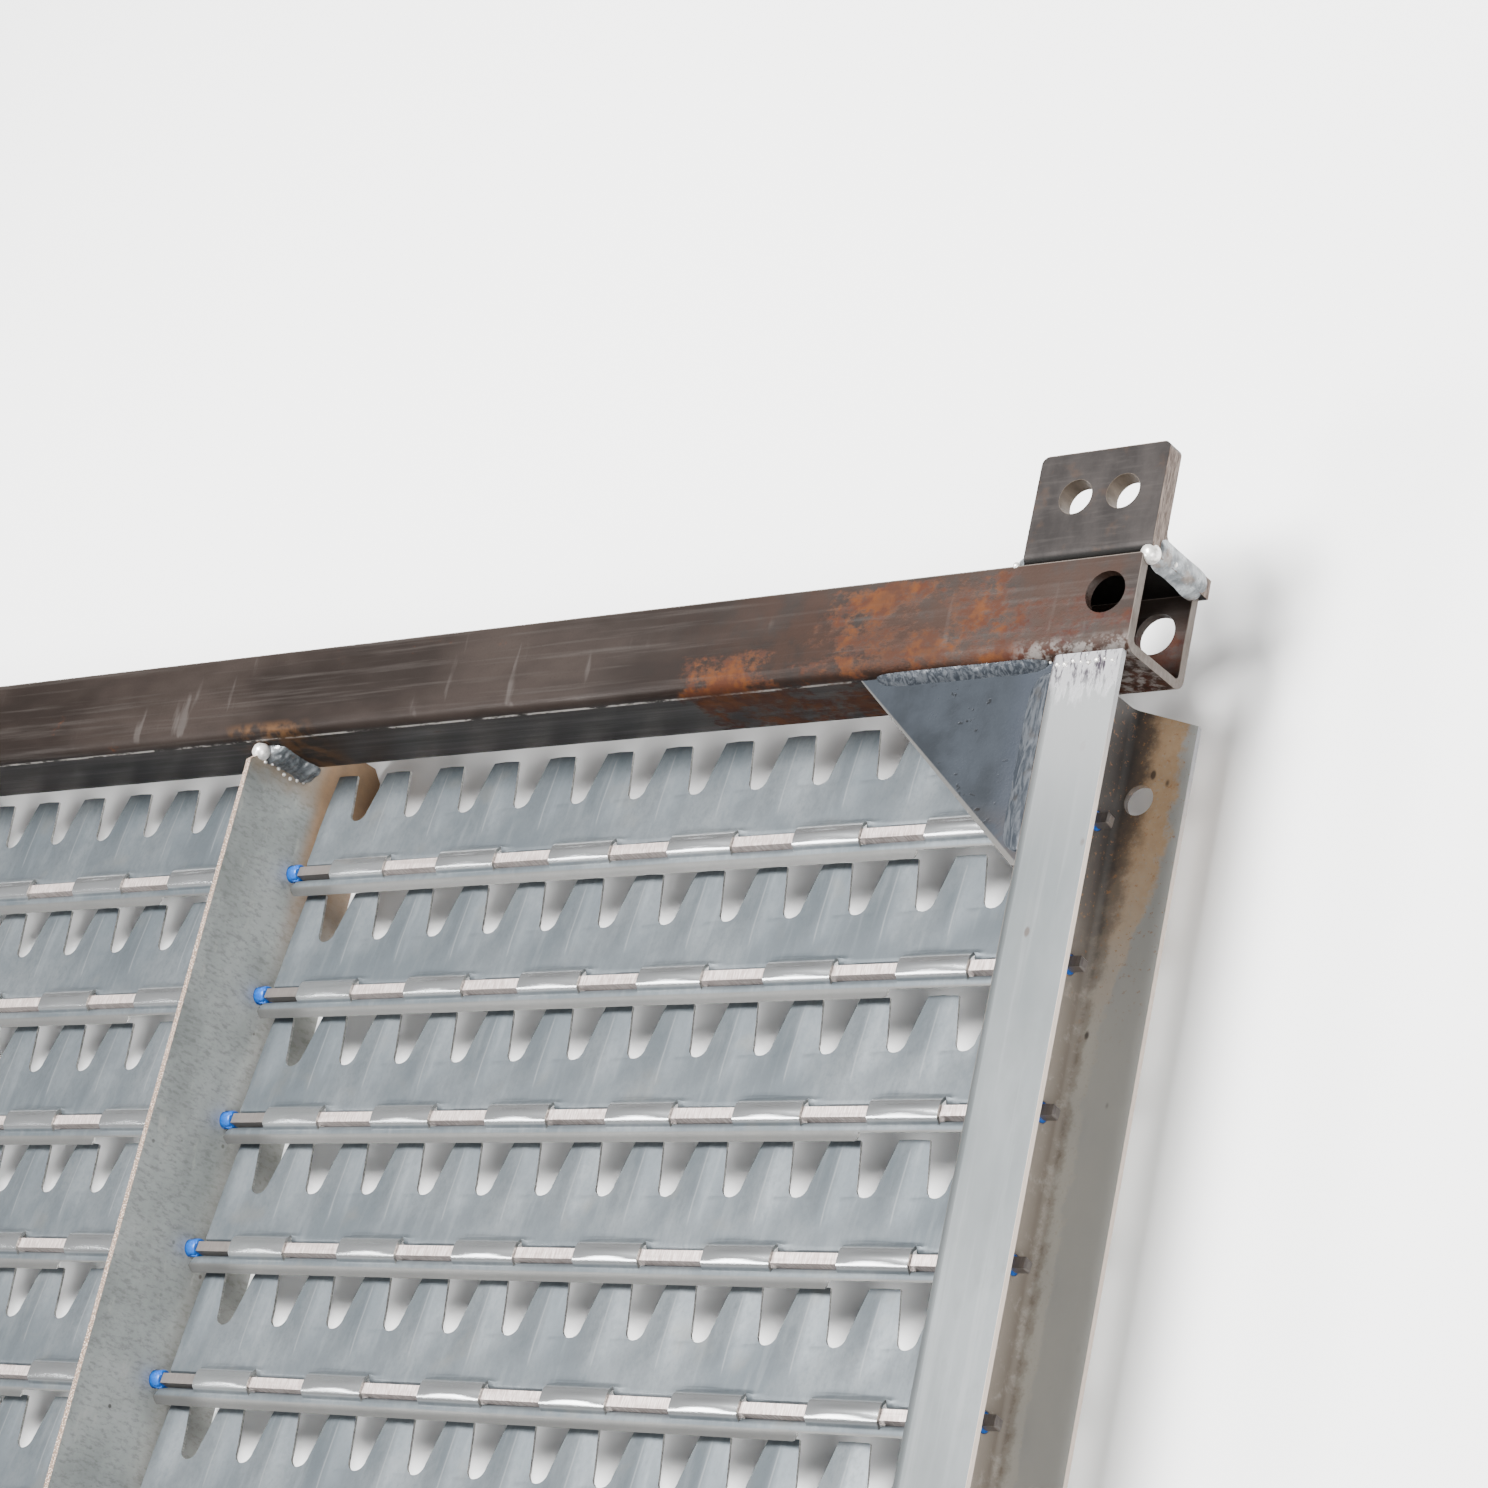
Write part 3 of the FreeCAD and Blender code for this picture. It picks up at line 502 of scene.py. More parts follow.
def divider_steel():
    """Matt, speckled zinc on the dividers; heat-tinted ends, a brown sheared edge, and painted shade low
    down, below the slats.
    """
    g = Graph("divider_steel")
    behind = from_front(g)
    speck = g.noise(1.5, 5, 0.72, (1, 1, 0.4))
    cloud = g.noise(30, 5, 0.62, (1, 0.7, 1))
    g.colour = g.mix(g.step(cloud, 0.34, 0.68), (0.27, 0.29, 0.28), (0.42, 0.44, 0.43))
    g.lay(g.step(speck, 0.46, 0.66), (0.12, 0.125, 0.115), 0.45)
    smear = g.mul(g.patch(0.6, 0.72, 9, 4, 0.6, (1, 0.5, 1.6)), 0.5)
    g.lay(smear, (0.5, 0.5, 0.47))
    pits = g.mul(g.spots(9, 0.05, 0.1), g.patch(0.45, 0.6, 25, 2))
    g.lay(pits, (0.04, 0.035, 0.03), 0.8)
    stain = g.mul(g.step(g.add(behind, g.mul(g.sub(g.noise(7, 4), 0.5), 12)), 15, 4), 0.75)
    g.lay(stain, (0.27, 0.2, 0.135))
    under = g.mul(g.step(g.z, 30, 22), g.step(behind, 75, 20))
    burnt = g.mix(g.noise(5, 5, 0.65), (0.15, 0.085, 0.04), (0.44, 0.23, 0.09))
    g.lay(under, burnt, 0.9)
    # painted shade: the divider is darkened to olive brown low down, below the slats
    shade_below_slats = g.mul(g.step(g.z, 30, 20), 0.35)
    g.lay(shade_below_slats, (0.2, 0.175, 0.14))
    edge_z = limits("divider_left")[1].z
    edge = g.step(g.z, edge_z - 0.12, edge_z - 0.03)
    corner = g.step(g.add(g.z, g.sub(7.0, behind)), edge_z - 0.25, edge_z - 0.1)
    sparkle = g.mix(g.patch(0.5, 0.62, 0.5, 2, 0.6), (0.16, 0.105, 0.075), (0.62, 0.52, 0.44))
    g.lay(g.most(edge, corner), sparkle)
    g.bump(g.add(g.mul(speck, 0.7), g.mul(cloud, 0.6)), 0.08, 0.7)
    return g.finish(g.add(g.mul(speck, 0.3), 0.36), 0.35)


def slat_steel():
    """Satin blue-grey zinc on the slats, in the slat's own frame: X along it and Y from its wire."""
    g = Graph("slat_steel")
    own_place = g.vector("SCALE", {0: g.node("ObjectInfo").outputs["Location"], "Scale": 5 / MM})
    g.place = g.vector("ADD", {0: g.place, 1: own_place})
    cloud = g.noise(26, 5, 0.6, (0.8, 0.5, 1))
    fine = g.noise(1.4, 5, 0.7, (1, 0.7, 1))
    drawn = g.noise(3.5, 4, 0.6, (1, 0.1, 1))
    g.colour = g.mix(g.step(cloud, 0.34, 0.68), (0.15, 0.178, 0.198), (0.25, 0.278, 0.295))
    mottle = g.noise(4.2, 5, 0.7, (1, 0.6, 1))
    g.lay(g.step(mottle, 0.4, 0.64), (0.135, 0.158, 0.178), 0.4)
    g.lay(g.step(fine, 0.45, 0.68), (0.11, 0.13, 0.145), 0.35)
    g.lay(g.step(drawn, 0.5, 0.72), (0.33, 0.365, 0.385), 0.28)
    g.lay(g.patch(0.6, 0.75, 18, 3), (0.3, 0.28, 0.23), 0.2)
    # painted highlight: a thin pale line along each finger's fold ridge
    fold = g.math("MODULO", g.sub(g.x, NOTCH_FIRST), FINGER_PITCH)
    fold = g.mul(g.band(fold, FINGER_PITCH / 2, 0.12, 0.3), g.mul(g.step(g.y, 9, 13), g.step(g.y, 36, 32)))
    g.lay(fold, (0.4, 0.42, 0.43), 0.4)
    # painted reflection: the bent-down lip is painted warm grey, as the floor that it faces would show in it
    lip = g.step(g.y, LIP_START + 0.2, LIP_START - 0.4)
    warm_reflection = g.mix(g.noise(7, 4, 0.6, (0.15, 1, 1)), (0.14, 0.135, 0.125), (0.23, 0.222, 0.208))
    g.lay(lip, warm_reflection, 0.8)
    # painted sheen: the crimps' crests are painted near white where they catch the light; they are also
    # glossier and more metallic
    crimp = g.mul(g.band(g.y, 0, 2.6, 1.6), g.step(g.z, 1.2, 2.3))
    g.lay(crimp, (0.92, 0.94, 0.95), 0.8)
    rough = g.add(g.mul(fine, g.blend(crimp, 0.2, 0.05)), g.step(crimp, 0, 1, 0.36, 0.2))
    g.bump(g.mul(g.add(g.mul(fine, 0.35), g.mul(drawn, 0.4)), g.blend(crimp, 1.0, 0.08)), 0.06, 0.6)
    return g.finish(rough, g.step(crimp, 0, 1, 0.5, 0.85), 0.5)


def slat_edge():
    """The slats' sheared edges: bright, with fine upright lines."""
    g = Graph("slat_edge_steel")
    lines = g.noise(0.5, 4, 0.6, (1, 1, 0.2))
    g.colour = g.mix(g.step(lines, 0.35, 0.65), (0.26, 0.26, 0.25), (0.55, 0.545, 0.52))
    g.bump(lines, 0.05, 0.6)
    return g.finish(g.add(g.mul(lines, 0.2), 0.25), 0.8)


def wire_steel():
    """Drawn wire: pinkish and scored where it shows in the slats, dark by the bushes."""
    g = Graph("wire_steel")
    score = g.noise(0.5, 4, 0.6, (1, 0.12, 0.12))
    along = g.noise(2.0, 4, 0.6, (0.06, 1, 1))
    in_bay = g.math("MODULO", g.add(g.x, WEB_IN), BAY_STEP)
    by_bush = g.step(in_bay, SLAT_INSET + 14.5, SLAT_INSET + 13.5)
    outside = g.step(g.across(), WEB_IN - 0.5, WEB_IN + 0.5)
    g.colour = g.mix(g.step(score, 0.35, 0.68), (0.5, 0.41, 0.38), (0.8, 0.71, 0.67))
    g.lay(g.step(along, 0.5, 0.7), (0.3, 0.245, 0.225), 0.4)
    dark = g.mix(along, (0.075, 0.068, 0.062), (0.17, 0.155, 0.145))
    g.lay(g.most(by_bush, outside), dark, 0.9)
    g.bump(g.add(g.mul(score, 0.7), g.mul(along, 0.4)), 0.05, 0.7)
    return g.finish(g.add(g.mul(score, 0.2), 0.3), 0.6)


def zinc_plate():
    """Bright zinc on bolts, nuts and pins."""
    g = Graph("zinc_plate")
    cloud = g.noise(9, 4, 0.6)
    fine = g.noise(0.6, 4, 0.65)
    g.colour = g.mix(g.step(cloud, 0.35, 0.65), (0.4, 0.4, 0.4), (0.62, 0.62, 0.6))
    g.lay(g.step(fine, 0.5, 0.7), (0.25, 0.25, 0.24), 0.3)
    g.bump(fine, 0.04, 0.5)
    return g.finish(g.add(g.mul(cloud, 0.25), 0.22), 0.9)


def bar_steel():
    """Cold-rolled flat bar with long scratches and a few rub marks."""
    g = Graph("bar_steel")
    along = g.noise(1.2, 5, 0.65, (1, 0.03, 1))
    cloud = g.noise(30, 4, 0.6, (1, 0.4, 1))
    g.colour = g.mix(g.step(cloud, 0.35, 0.66), (0.25, 0.265, 0.27), (0.4, 0.415, 0.42))
    g.lay(g.step(along, 0.5, 0.7), (0.58, 0.59, 0.58), 0.45)
    g.lay(g.patch(0.62, 0.7, 6, 5, 0.65), (0.22, 0.14, 0.09), 0.35)
    g.bump(along, 0.05, 0.6)
    return g.finish(g.add(g.mul(along, 0.25), 0.25), 0.85)


def weld_metal():
    """Weld beads: grey-blue skin with scale, brighter on the crests."""
    g = Graph("weld_metal")
    cloud = g.noise(4.5, 5, 0.62)
    fine = g.noise(0.9, 4, 0.65)
    g.colour = g.mix(g.step(cloud, 0.36, 0.64), (0.075, 0.082, 0.088), (0.22, 0.235, 0.245))
    g.lay(g.step(fine, 0.58, 0.7), (0.45, 0.44, 0.42), 0.35)
    brown = g.mul(g.patch(0.58, 0.68, 6, 4), 0.5)
    g.lay(brown, (0.13, 0.085, 0.055))
    g.bump(g.add(cloud, g.mul(fine, 0.5)), 0.08, 0.6)
    return g.finish(g.step(cloud, 0.3, 0.7, 0.42, 0.26), 0.6)


def smooth_weld():
    """The smooth, heat-blued fillets on the gussets, drawn out in long smears."""
    g = Graph("smooth_weld_metal")
    smear = g.noise(2.4, 4, 0.6, (1, 0.22, 1), 1.5)
    cloud = g.noise(9, 4, 0.6)
    g.colour = g.mix(g.step(smear, 0.4, 0.62), (0.04, 0.048, 0.06), (0.14, 0.152, 0.17))
    g.lay(g.step(cloud, 0.56, 0.66), (0.06, 0.052, 0.045), 0.5)
    g.bump(smear, 0.07, 0.6)
    return g.finish(g.step(smear, 0.3, 0.7, 0.4, 0.28), 0.5, 0.7)


def weld_ball():
    """The bright ball where a bead starts."""
    g = Graph("weld_ball_metal")
    cloud = g.noise(2.2, 4, 0.6)
    g.colour = g.mix(g.step(cloud, 0.4, 0.65), (0.85, 0.83, 0.79), (0.5, 0.48, 0.45))
    g.bump(cloud, 0.15, 0.6)
    return g.finish(g.add(g.mul(cloud, 0.3), 0.2), 0.55)


def bush_plastic():
    """Blue moulded plastic with a faint grain."""
    g = Graph("bush_plastic")
    grain = g.noise(0.7, 4, 0.6)
    g.colour = g.mix(g.step(grain, 0.35, 0.7), (0.003, 0.07, 0.34), (0.006, 0.115, 0.48))
    g.shader.inputs["Subsurface Weight"].default_value = 0.08
    g.bump(grain, 0.04, 0.5)
    return g.finish(g.add(g.mul(grain, 0.2), 0.28), 0.0)


def grip():
    """Black moulded sleeve with a fine leather-like grain."""
    g = Graph("grip_rubber")
    grain = g.noise(0.8, 4, 0.6)
    g.colour = g.mix(g.step(grain, 0.35, 0.7), (0.012, 0.012, 0.013), (0.035, 0.035, 0.036))
    g.bump(grain, 0.1, 0.7)
    return g.finish(g.add(g.mul(grain, 0.25), 0.5), 0.0)


MATERIALS = {make.__name__: make() for make in (
    mill_steel, bracket_steel, gusset_steel, member_steel, divider_steel, slat_steel, slat_edge, wire_steel,
    bar_steel, weld_metal, smooth_weld, weld_ball, zinc_plate, bush_plastic, grip)}


def dress_cad_nodes():
    """Give every CAD node its material: that of its slot, or a special one."""
    special = {}
    for side in ("right", "left"):
        special.update({"bracket_" + side: "bracket_steel", "divider_" + side: "divider_steel",
                        "side_member_" + side: "member_steel"})
    for part in frame["record"]["subparts"]:
        name = part["node"]
        mesh = frame["nodes"][name].data
        mesh.materials.clear()
        mesh.materials.append(MATERIALS[special.get(name) or part["material_slot"]])


# ---- slats ---------------------------------------------------------
def notch_half(u):
    """Half the width of the space between two fingers, at a distance from the wire."""
    root = NOTCH_ROOT + NOTCH_ROOT_R
    if u <= NOTCH_ROOT:
        return 0.0
    if u < root:
        return math.sqrt(NOTCH_ROOT_R ** 2 - (root - u) ** 2)
    return lerp(NOTCH_ROOT_R, NOTCH_MOUTH / 2, (u - root) / (FINGER_TIP - root))


def left_edge(u):
    """Where the slat starts: the lip reaches further left than the sheet, past a chamfer."""
    if u > -3.2:
        return 0.0
    if u > -5.6:
        return lerp(-1.6, -LIP_OVERHANG, (-3.2 - u) / 2.4)
    return -LIP_OVERHANG + 0.35 * (-5.6 - u) ** 2


def boundary(index, u, side):
    """X of the line between two fingers; side is -1 for the finger before it and +1 for the one after."""
    middle = NOTCH_FIRST + FINGER_PITCH * index
    shear = middle - (0.5 if index == 0 else 0.74 if index % 2 else 1.08)
    return lerp(shear, middle, smooth(6, 15, u)) + side * notch_half(u)


def crimp_height(group, across, u):
    """Height of the pressed part: over the wire on odd groups, under it on even ones."""
    over = group % 2 == 1
    foot = (CRIMP_SHORT if u < 0 else CRIMP_LONG) if over else CRIMP_UNDER
    if abs(u) >= foot:
        return 0.0
    shoulder = WIRE / 2 + SLAT_T / 2 + 0.05
    dome = math.sin(math.pi * across) ** 0.7 if 0 < across < 1 else 0.0
    crest = shoulder + (0.1 + 0.55 * dome if over else 0.15)
    if abs(u) <= CRIMP_FLAT:
        height = crest - (crest - shoulder) * (u / CRIMP_FLAT) ** 2
    else:
        height = shoulder * smooth(0, 1, (foot - abs(u)) / (foot - CRIMP_FLAT))
    return height if over else -height


def sheet_height(group, across, s, u):
    """Height of the slat's middle surface off its plane: crimps, folded fingers and a little waviness."""
    height = crimp_height(group, across, u)
    from_fold = abs((s - NOTCH_FIRST) % FINGER_PITCH - FINGER_PITCH / 2)
    fold = FOLD_HEIGHT * smooth(7.5, 19, u) * smooth(FINGER_TIP + 6, FINGER_TIP - 4, u)
    height += fold * (max(0.0, 1 - from_fold / FOLD_HALF) - 0.35)
    if group % 2 == 1:
        ledge = smooth(0.06, 0.12, across) * smooth(0.62, 0.56, across)
        height += 0.17 * ledge * math.exp(-((u - 5.6) / 0.4) ** 2)
    return height + WAVE_HEIGHT * noise.noise(Vector((s / 31, u / 17, 2.3)))


def slat_rows():
    """Distances from the wire at which the sheet has a row of points, and the drop of the lip's rows."""
    drop = math.radians(LIP_ANGLE)
    rows = [(LIP_START - t * math.cos(drop), -t * math.sin(drop)) for t in (LIP_LENGTH, 2.6, 1.6, 0.6)]
    rows += [(LIP_START + 0.1, -0.12)]
    half = [0.6, 1.2, 1.8, 2.3, 2.9, 3.4, 3.9, CRIMP_FOOT]
    crimp = [-u for u in reversed(half)] + [0] + half
    beyond = [5.0, 5.3, 5.6, 5.9, 6.3, 7.5, 9, 11, 13.5, 16, 18, NOTCH_ROOT]
    root = [NOTCH_ROOT + NOTCH_ROOT_R * (1 - math.cos(math.radians(a))) for a in range(12, 91, 13)]
    finger = [lerp(root[-1], FINGER_TIP, t / 6) for t in range(1, 7)]
    return rows + [(u, 0.0) for u in crimp + beyond + root + finger]


def slat_surface():
    """The slat's middle surface as one sheet of quads, slit where it passes over and under the wire."""
    rows = slat_rows()
    vertices, faces, index = [], [], {}

    def vertex(group, j, row):
        u, drop = rows[row]
        slit = abs(u) < CRIMP_FOOT or u > NOTCH_ROOT
        if j == 0 and group > 0 and not slit:
            group, j = group - 1, ACROSS_FINGER
        key = (group, j, row)
        if key not in index:
            left = left_edge(u) if group == 0 else boundary(group - 1, u, 1)
            right = SLAT_LENGTH if group == NOTCH_COUNT else boundary(group, u, -1)
            s = lerp(left, right, j / ACROSS_FINGER)
            if drop and s > LIP_END - 2:
                s -= 0.5 * drop * drop
            index[key] = len(vertices)
            vertices.append((s, u, drop + sheet_height(group, j / ACROSS_FINGER, s, u)))
        return index[key]

    for group in range(NOTCH_COUNT + 1):
        for j in range(ACROSS_FINGER):
            for row in range(len(rows) - 1):
                middle = lerp(boundary(group - 1, 0, 1) if group else 0.0,
                              boundary(group, 0, -1) if group < NOTCH_COUNT else SLAT_LENGTH,
                              (j + 0.5) / ACROSS_FINGER)
                if row < 3 and middle > LIP_END:
                    continue
                faces.append([vertex(group, j, row), vertex(group, j + 1, row),
                              vertex(group, j + 1, row + 1), vertex(group, j, row + 1)])
    return vertices, faces


def slat_mesh():
    """The slat as a solid sheet, shared by all rows."""
    vertices, faces = slat_surface()
    sheet = make_object("slat_master", vertices, faces, closed=False)
    sheet.data.materials.append(MATERIALS["slat_steel"])
    sheet.data.materials.append(MATERIALS["slat_edge"])
    thick = sheet.modifiers.new("thickness", "SOLIDIFY")
    thick.thickness = SLAT_T * MM
    thick.offset = 0.0
    thick.use_even_offset = True
    thick.material_offset_rim = 1
    solid = bpy.data.meshes.new_from_object(sheet.evaluated_get(bpy.context.evaluated_depsgraph_get()))
    bpy.data.objects.remove(sheet)
    solid.name = "slat"
    solid.set_sharp_from_angle(angle=math.radians(38))
    return solid


def build_slats():
    """Three slats for each wire."""
    mesh = slat_mesh()
    for row in range(1, ROWS + 1):
        for bay, bay_left in zip(("left", "middle", "right"), BAY_LEFTS):
            slat = add_object("slat_%02d_%s" % (row, bay), mesh)
            hang(slat, row, bay_left + SLAT_INSET, "slat_steel", "slats")


# ---- bushes --------------------------------------------------------
def bush(inner_x, outer_x):
    """One bush from inside its plate to its free end: a sleeve with a notched collar and a square hole."""
    out = 1 if outer_x > inner_x else -1
    length = abs(outer_x - inner_x)
    collar = length - 2.1

    def loop(x, radius_at):
        return loop_at(inner_x + out * x, radius_at, 48)

    def notched(r):
        return lambda angle: lerp(2.35, r, smooth(0.12, 0.3, abs(math.sin(2 * angle + 0.6))))

    def square(angle):
        return (WIRE / 2 + 0.03) / max(abs(math.cos(angle)), abs(math.sin(angle)))

    sections = [loop(x, lambda angle: 2.85) for x in (0, collar - 0.5)]
    sections += [loop(x, notched(r)) for x, r in ((collar, 3.06), (length - 0.5, 3.1), (length - 0.12, 2.9),
                                                  (length, 2.6))]
    sections += [loop(length, square), loop(0, square), sections[0]]
    return rings(sections, closed_ends=False)


def build_bushes():
    """A set of four bushes for each wire."""
    spans = [(-WEB_OUT, -WEB_IN + BUSH_STAND), (WEB_OUT, WEB_IN - BUSH_STAND)]
    spans += [(low.x - 0.5, high.x + BUSH_STAND) for low, high in DIVIDERS]
    vertices, faces = join_parts([bush(a, b) for a, b in spans])
    for row in range(1, ROWS + 1):
        obj = make_object("bush_set_%02d" % row, vertices, faces, sharp=30)
        obj.data.materials.append(MATERIALS["bush_plastic"])
        hang(obj, row, 0, "bush_plastic", "bushes")


# ---- welds ---------------------------------------------------------
def bead(start, end, side_a, side_b, leg_a, leg_b, seed, bulge=0.25, rough=1.0):
    """A rippled fillet bead in the corner between two faces, closed at both ends."""
    start, end = Vector(start), Vector(end)
    side_a, side_b = Vector(side_a), Vector(side_b)
    length = (end - start).length
    steps = max(8, int(length / 0.45))
    around = 14
    sections = []
    for i in range(steps + 1):
        t = i / steps
        at = start.lerp(end, t)
        taper = math.sqrt(max(0.02, 1 - abs(2 * t - 1) ** 9))
        phase = 2 * math.pi * t * length / 1.9 + 1.3 * noise.noise(Vector((seed, t * 6, 0)))
        ripple = 1 + 0.07 * rough * math.sin(phase)
        wander = 1 + 0.2 * rough * noise.noise(Vector((seed + 3.1, t * length / 6, 1.7)))
        loop = [at - (side_a + side_b) * 0.15]
        for j in range(around + 1):
            f = j / around
            flat = side_a * leg_a * (1 - f) + side_b * leg_b * f
            arch = math.sin(math.pi * f) * bulge * math.hypot(leg_a, leg_b)
            outward = (side_a * leg_b + side_b * leg_a).normalized()
            lump = 0.12 * rough * leg_a * noise.noise(Vector((seed, t * length / 1.5, f * 3)))
            loop.append(at + (flat + outward * (arch * ripple + lump)) * taper * wander)
        sections.append(loop)
    return rings(sections)


def ball(centre, radius, seed):
    """A slightly lumpy drop of metal."""
    profile = []
    for i in range(1, 16):
        a = math.pi * i / 16
        profile.append((-math.cos(a), math.sin(a)))

    def lumpy(x, r, angle):
        return r * (1 + 0.1 * noise.noise(Vector((seed + x * 1.5, math.cos(angle), math.sin(angle)))))

    vertices, faces = turned(profile, lumpy, segments=20)
    return [Vector(centre) + Vector(v) * radius for v in vertices], faces


def spatter(places, seed):
    """Small drops of weld metal at given places."""
    return join_parts([ball(at, radius, seed + i * 1.7) for i, (at, radius) in enumerate(places)])


def mirrored(part):
    """The same part on the other side of the sieve."""
    vertices, faces = part
    return [Vector((-v[0], v[1], v[2])) for v in vertices], [face[::-1] for face in faces]


def add_welds(stem, node, beads, drops, both_sides=True):
    """The beads and the bright drops that stand for one CAD node of welds."""
    for name, parts, material in ((stem + "_weld_beads", beads, "weld_metal"),
                                  (stem + "_weld_drops", drops, "weld_ball")):
        if both_sides:
            parts = parts + [mirrored(part) for part in parts]
        add_piece(name, parts, material, "frame", "weld_metal", node, 60)


def build_divider_welds():
    """Beads on both faces of each divider's ends, with a ball at the top and a row of spatter."""
    beads, balls = [], []
    for index, (low, high) in enumerate(DIVIDERS):
        for web_y, toward in ((FRONT_WEB_Y, -1), (REAR_WEB_Y, 1)):
            seed = 3.0 * index + toward
            beads.append(bead((high.x, web_y, 31.4), (high.x, web_y, 54.5), (1, 0, 0), (0, toward, 0),
                              6.8, 5.2, seed, 0.12))
            beads.append(bead((low.x, web_y, 32), (low.x, web_y, 52), (-1, 0, 0), (0, toward, 0),
                              3.6, 3.4, seed + 9, 0.16))
            balls.append(ball((high.x - 0.6, web_y + toward * 2.6, 55.4), 3.1, seed + 5))
            drops = []
            for k in range(7):
                drops.append(((high.x + 0.1, web_y + toward * (5.4 + 0.7 * math.sin(5 * k)), 53 - 3.1 * k),
                              0.45 + 0.25 * abs(math.sin(3 * k + seed))))
            balls.append(spatter(drops, seed + 2))
    add_welds("divider", "divider_welds", beads, balls, both_sides=False)


def build_bracket_welds():
    """A large fillet at each bracket's inner foot and a thick bead over the end of its flange."""
    foot_y = FRONT_WEB_Y + CHANNEL
    foot_x = limits("bracket_right")[0].x
    end_x = FRAME_HALF - 0.6
    inner = bead((foot_x, foot_y, TOP - 0.8), (foot_x, foot_y, CHANNEL_Z + 3), (-1, 0, 0), (0, 1, 0),
                 7.2, 6.6, 1.0, -0.07)
    end_y = foot_y + 6.4
    end = bead((end_x, end_y, TOP - 2.5), (end_x, end_y, CHANNEL_Z - 0.5), (1, 0, 0), (0, -1, 0),
               3.2, 9.0, 2.0, 0.26, 0.35)
    drop = ball((FRAME_HALF + 0.6, foot_y + 0.4, TOP - 2.6), 3.0, 4.0)
    drops = spatter([((foot_x - 2.2, foot_y + 0.4, TOP - 0.7), 1.2),
                     ((FRAME_HALF + 2.6, foot_y + 1.5, TOP - 12), 0.9),
                     ((FRAME_HALF + 2.4, foot_y + 3.2, TOP - 21), 0.7)], 6.0)
    add_welds("bracket", "bracket_welds", [inner, end], [drop, drops])


def build_gusset_welds():
    """Smooth fillets along both legs of each gusset."""
    low, high = limits("gusset_front_right")
    beads = []
    for index, (web_y, toward) in enumerate(((FRONT_WEB_Y, -1), (REAR_WEB_Y, 1))):
        beads.append(bead((low.x + 6, web_y, high.z), (high.x - 2, web_y, high.z), (0, toward, 0), (0, 0, 1),
                          3.0, 3.2, 7.0 + index, 0.05, 0.3))
        beads.append(bead((high.x, web_y + toward * 3, high.z), (high.x, web_y + toward * 58, high.z),
                          (-1, 0, 0), (0, 0, 1), 7.0, 1.5, 9.0 + index, 0.03, 0.15))
    beads += [mirrored(part) for part in beads]
    add_piece("gusset_weld_beads", beads, "smooth_weld", "frame", "weld_metal", "gusset_welds", 60)


def build_member_welds():
    """Beads in each corner of the frame and across the flanges' ends, with spatter in front."""
    beads, drops = [], []
    for index, (web_y, toward) in enumerate(((FRONT_WEB_Y, -1), (REAR_WEB_Y, 1))):
        beads.append(bead((WEB_IN, web_y, CHANNEL_Z + 3), (WEB_IN, web_y, CHANNEL_Z + 24), (-1, 0, 0),
                          (0, toward, 0), 2.8, 2.6, 11.0 + index))
        along_y, along_z = web_y + toward * 0.6, TOP - 1.4
        beads.append(bead((WEB_IN + 1.5, along_y, along_z), (FLANGE_OUT - 1.5, along_y, along_z),
                          (0, toward, 0), (0, 0, 1), 3.0, 1.3, 13.0 + index, 0.1))
    for k in range(9):
        drops.append(((WEB_IN + 1 + 2.6 * k, FRONT_WEB_Y - 2.2 - 1.2 * abs(math.sin(4.1 * k)), TOP - 0.1),
                      0.4 + 0.45 * abs(math.sin(2.3 * k))))
    add_welds("member", "side_member_welds", beads, [spatter(drops, 20.0)])


# ---- bolts, nuts, lever parts --------------------------------------
def hexagon(across):
    """Cuts a turned body down to a hexagon of this width across its flats."""
    def shape(x, radius, angle):
        from_flat = (angle + math.pi / 2) % (math.pi / 3) - math.pi / 6
        return min(radius, across / 2 / math.cos(from_flat))
    return shape


def shank(y, z, start, end, radius, pitch, thread_end):
    """A bolt's shank from its tip at start, threaded up to thread_end."""
    def thread(x, r, angle):
        if not start < x < thread_end:
            return r
        turn = (x / pitch - angle / (2 * math.pi)) % 1.0
        return r - 0.55 * pitch * abs(2 * turn - 1)

    profile = [(start, radius - 0.7 * pitch), (start + 0.5 * pitch, radius - 0.1)]
    x = start + 0.7 * pitch
    while x < thread_end:
        profile.append((x, radius))
        x += pitch / 7
    return turned(profile + [(thread_end + 0.2, radius), (end, radius)], thread, y, z)


def nut(y, z, node, across, bore):
    """A hexagon nut with its corners turned off, as long as a CAD node."""
    low, high = limits(node)
    corner = across / 2 / math.cos(math.pi / 6) + 0.01
    flat = across / 2 - 0.15
    profile = [(low.x, flat), (low.x + 0.75, corner), (high.x - 0.75, corner), (high.x, flat)]
    return turned(profile, hexagon(across), y, z, bore)


def washer(y, z, low, high, radius, bore=0.0):
    """A flat ring, or a disc, with slightly rounded rims."""
    profile = [(low, radius - 0.2), (low + 0.2, radius), (high - 0.2, radius), (high, radius - 0.2)]
    return turned(profile, None, y, z, bore)


def centre_yz(node):
    low, high = limits(node)
    return (low.y + high.y) / 2, (low.z + high.z) / 2


def add_fasteners(body, parts_of):
    """One detailed piece for each CAD node of fasteners."""
    for node, parts in parts_of.items():
        add_piece(node + "_detailed", parts, "zinc_plate", body, "zinc_plate", node, 28)


